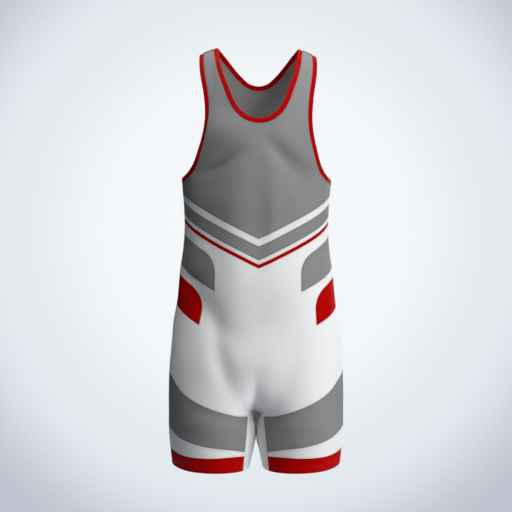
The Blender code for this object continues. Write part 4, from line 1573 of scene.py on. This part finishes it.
# %% Make the threads
THREAD_TWIST = 0.0005
TWIST_HEIGHT = 0.00005
STITCH_OFFSET = 0.01
# Painted shadow: the shoulder thread is near black to stand for the shade along the ridge
PAINTED_SHADOW_THREAD = (0.012, 0.012, 0.012)


def make_thread(name, colour):
    """Twisted polyester thread: fine slanting ridges along each stitch, with painted shade between them."""
    material, tree, shader = new_material(name)
    place, x, y = flat_place(tree)
    twist = math(tree, "ADD", math(tree, "MULTIPLY", x, FULL_TURN / THREAD_TWIST), y)
    ridge = math(tree, "MULTIPLY_ADD", math(tree, "SINE", twist), 0.5, 0.5)
    # Painted shade: the colour is darkened between the ridges of the twist
    dye_and_shade = add_node(tree, "Group", node_tree=DYE_AND_SHADE, feeds={
        "Color": (*colour, 1.0), "Spread": 0.08, "Height": ridge, "Loop Shade": 0.15, "Seam Shade": 0.0,
    })[0]
    feed(tree, shader, {
        "Base Color": dye_and_shade,
        "Normal": add_node(tree, "Bump", {"Height": ridge, "Distance": TWIST_HEIGHT})[0],
        "Roughness": 0.5,
        "Specular IOR Level": 0.15,
        "Specular Tint": (*(part / max(colour) for part in colour), 1.0),
    })
    return material


def add_threads(colour, tint):
    """Join all stitches of one colour."""
    bodies = np.concatenate(thread_parts[colour])
    count, size = bodies.shape[:2]
    one = grid_triangles(len(STITCH_ARCH), len(ROUND_THREAD))
    triangles = (one + size * np.arange(count)[:, None, None]).reshape(-1, 3)
    material = make_thread(f"{colour} thread", tint)
    piece = new_piece(f"stitches_{colour}", bodies.reshape(-1, 3), triangles, (material,))
    flat = np.stack(np.meshgrid(ROUND_THREAD, STITCH_ARCH[:, 0] * STITCH)[::-1], axis=-1).reshape(-1, 2)
    flat = np.tile(flat, (count, 1)) + np.repeat(np.arange(count) * STITCH_OFFSET, size)[:, None]
    add_map(piece.data, "cloth", flat[triangles.ravel()])
    add_number(piece.data, "near_seam", np.zeros(count * size))
    print(f"stitches_{colour}: {count} stitches, {len(triangles)} triangles")


add_threads("white", WHITE)
add_threads("grey", GREY)
add_threads("red", BINDING_RED)
# The painted shadow line along the shoulders
add_threads("painted_shadow", PAINTED_SHADOW_THREAD)

# %% [markdown]
# ## Camera, floor and light
#
# The camera is level with the middle of the garment and looks straight at its front. The floor is a plain
# pale disc far below, because nothing stands on it: the garment is held up by its wearer.

# %% Camera
CAMERA_PLACE = (0.0, -2.0, -0.3974)
LENS = 73.24
SENSOR = 36.0
camera_data = bpy.data.cameras.new("camera")
camera_data.lens = LENS
camera_data.sensor_width = SENSOR
camera = bpy.data.objects.new("camera", camera_data)
camera.location = CAMERA_PLACE
camera.rotation_euler = (RIGHT_ANGLE, 0.0, 0.0)
bpy.context.scene.collection.objects.link(camera)
bpy.context.scene.camera = camera
print("camera at", [round(value, 3) for value in camera.location])

# %% Floor
FLOOR_LEVEL = -1.60
FLOOR_RADIUS = 2.5
FLOOR_CORNERS = 128
PATCHES_A_METRE = 3.0
PALE = (0.74, 0.78, 0.83, 1.0)
PALER = (0.78, 0.81, 0.86, 1.0)


def make_floor():
    """A pale disc, fine enough to look round from above."""
    turn = np.linspace(0.0, FULL_TURN, FLOOR_CORNERS + 1)[:-1]
    ring = FLOOR_RADIUS * np.column_stack((np.cos(turn), np.sin(turn)))
    mesh = bpy.data.meshes.new("floor")
    mesh.from_pydata([(x, y, FLOOR_LEVEL) for x, y in ring.tolist()], [], [tuple(range(FLOOR_CORNERS))])
    material, tree, shader = new_material("pale floor")
    patches = noise(tree, add_node(tree, "TexCoord")["Object"], PATCHES_A_METRE)
    mixed = add_node(tree, "Mix", {"Factor": patches, "A": PALE, "B": PALER}, data_type="RGBA")["Result"]
    feed(tree, shader, {"Base Color": mixed, "Roughness": 0.9})
    mesh.materials.append(material)
    floor = bpy.data.objects.new("floor", mesh)
    bpy.context.scene.collection.objects.link(floor)


make_floor()
print("floor at", FLOOR_LEVEL)

# %% [markdown]
# The background is a pale blue-grey that is nearly white behind the garment: a painted pool of light that
# darkens towards the edges of the view. It is painted into the world by direction and only the camera sees
# it. The light that falls on the cloth is set apart from it, so that either can be changed without the other.

# %% World
# Painted light: the backdrop is brightest behind the garment and darkens towards the edges of the view
BACKDROP = (
    # distance from the middle of the view as a tangent, colour
    (0.000, (0.925, 0.945, 0.965)),
    (0.120, (0.900, 0.930, 0.950)),
    (0.245, (0.770, 0.815, 0.855)),
    (0.350, (0.500, 0.560, 0.625)),
)
BACKDROP_RISE = 0.025
AMBIENT = (0.92, 0.96, 1.0)
AMBIENT_STRENGTH = 0.02


def make_world():
    """A backdrop that only the camera sees, with painted light in its middle, and a faint even light on the
    cloth.
    """
    world = bpy.data.worlds.new("studio")
    world.use_nodes = True
    tree = world.node_tree
    tree.nodes.clear()
    x, y, z = add_node(tree, "SeparateXYZ", {0: add_node(tree, "TexCoord")["Generated"]})
    x, y = math(tree, "ABSOLUTE", x), math(tree, "ABSOLUTE", y)
    z = math(tree, "SUBTRACT", z, BACKDROP_RISE)
    aside = math(tree, "MINIMUM", x, y)
    squares = math(tree, "ADD", math(tree, "MULTIPLY", aside, aside), math(tree, "MULTIPLY", z, z))
    tangent = math(tree, "DIVIDE", math(tree, "SQRT", squares), math(tree, "MAXIMUM", x, y))
    ramp = tree.nodes.new("ShaderNodeValToRGB")
    ramp.color_ramp.interpolation = "EASE"
    reach = BACKDROP[-1][0]
    while len(ramp.color_ramp.elements) < len(BACKDROP):
        ramp.color_ramp.elements.new(0.5)
    for element, (distance, colour) in zip(ramp.color_ramp.elements, BACKDROP):
        element.position = distance / reach
        element.color = (*colour, 1.0)
    feed(tree, ramp, {"Fac": math(tree, "DIVIDE", tangent, reach)})
    seen = add_node(tree, "Background", {"Color": ramp.outputs["Color"]})[0]
    lighting = add_node(tree, "Background", {"Color": (*AMBIENT, 1.0), "Strength": AMBIENT_STRENGTH})[0]
    for_camera = add_node(tree, "LightPath")["Is Camera Ray"]
    both = add_node(tree, "MixShader", {"Fac": for_camera, 1: lighting, 2: seen})[0]
    add_node(tree, "OutputWorld", {"Surface": both})
    bpy.context.scene.world = world


make_world()
bpy.context.scene.view_settings.view_transform = "Standard"
print("world ready")

# %% [markdown]
# Two soft lights stand close by on the right in front, one above the garment's middle and one below it, and
# model the form from one side. A third hangs overhead for the shoulders. A fourth stands behind for views
# of the back.

# %% Lights
LIGHTS = (
    # name, azimuth, elevation, distance, size, watts
    ("key", 31.0, 26.0, 1.9, 0.8, 18.2),
    ("low key", 66.0, -14.0, 1.9, 0.8, 16.0),
    ("top", -15.0, 82.0, 2.8, 1.2, 80.0),
    ("rear", 148.0, 22.0, 3.0, 1.6, 50.0),
)
LIT_POINT = np.array((0.0, 0.0, -0.40))


def add_light(name, azimuth, elevation, distance, size, watts):
    """An area light aimed at the garment. Azimuth 0 is in front, 90 is on the wearer's left."""
    turn, tilt = np.radians(azimuth), np.radians(elevation)
    away = np.array((np.sin(turn) * np.cos(tilt), -np.cos(turn) * np.cos(tilt), np.sin(tilt)))
    data = bpy.data.lights.new(name, "AREA")
    data.shape = "DISK"
    data.size = size
    data.energy = watts
    light = bpy.data.objects.new(name, data)
    light.location = LIT_POINT + distance * away
    light.rotation_euler = (RIGHT_ANGLE - tilt, 0.0, turn)
    bpy.context.scene.collection.objects.link(light)
    print(f"{name}: {watts} W from azimuth {azimuth}")


for light in LIGHTS:
    add_light(*light)

# %% Measure and finish
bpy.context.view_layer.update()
for name, (width, length, area) in cut.items():
    print(f"cut {name}: {width * 1000:.0f} x {length * 1000:.0f} mm, {area * 1e4:.0f} cm2")
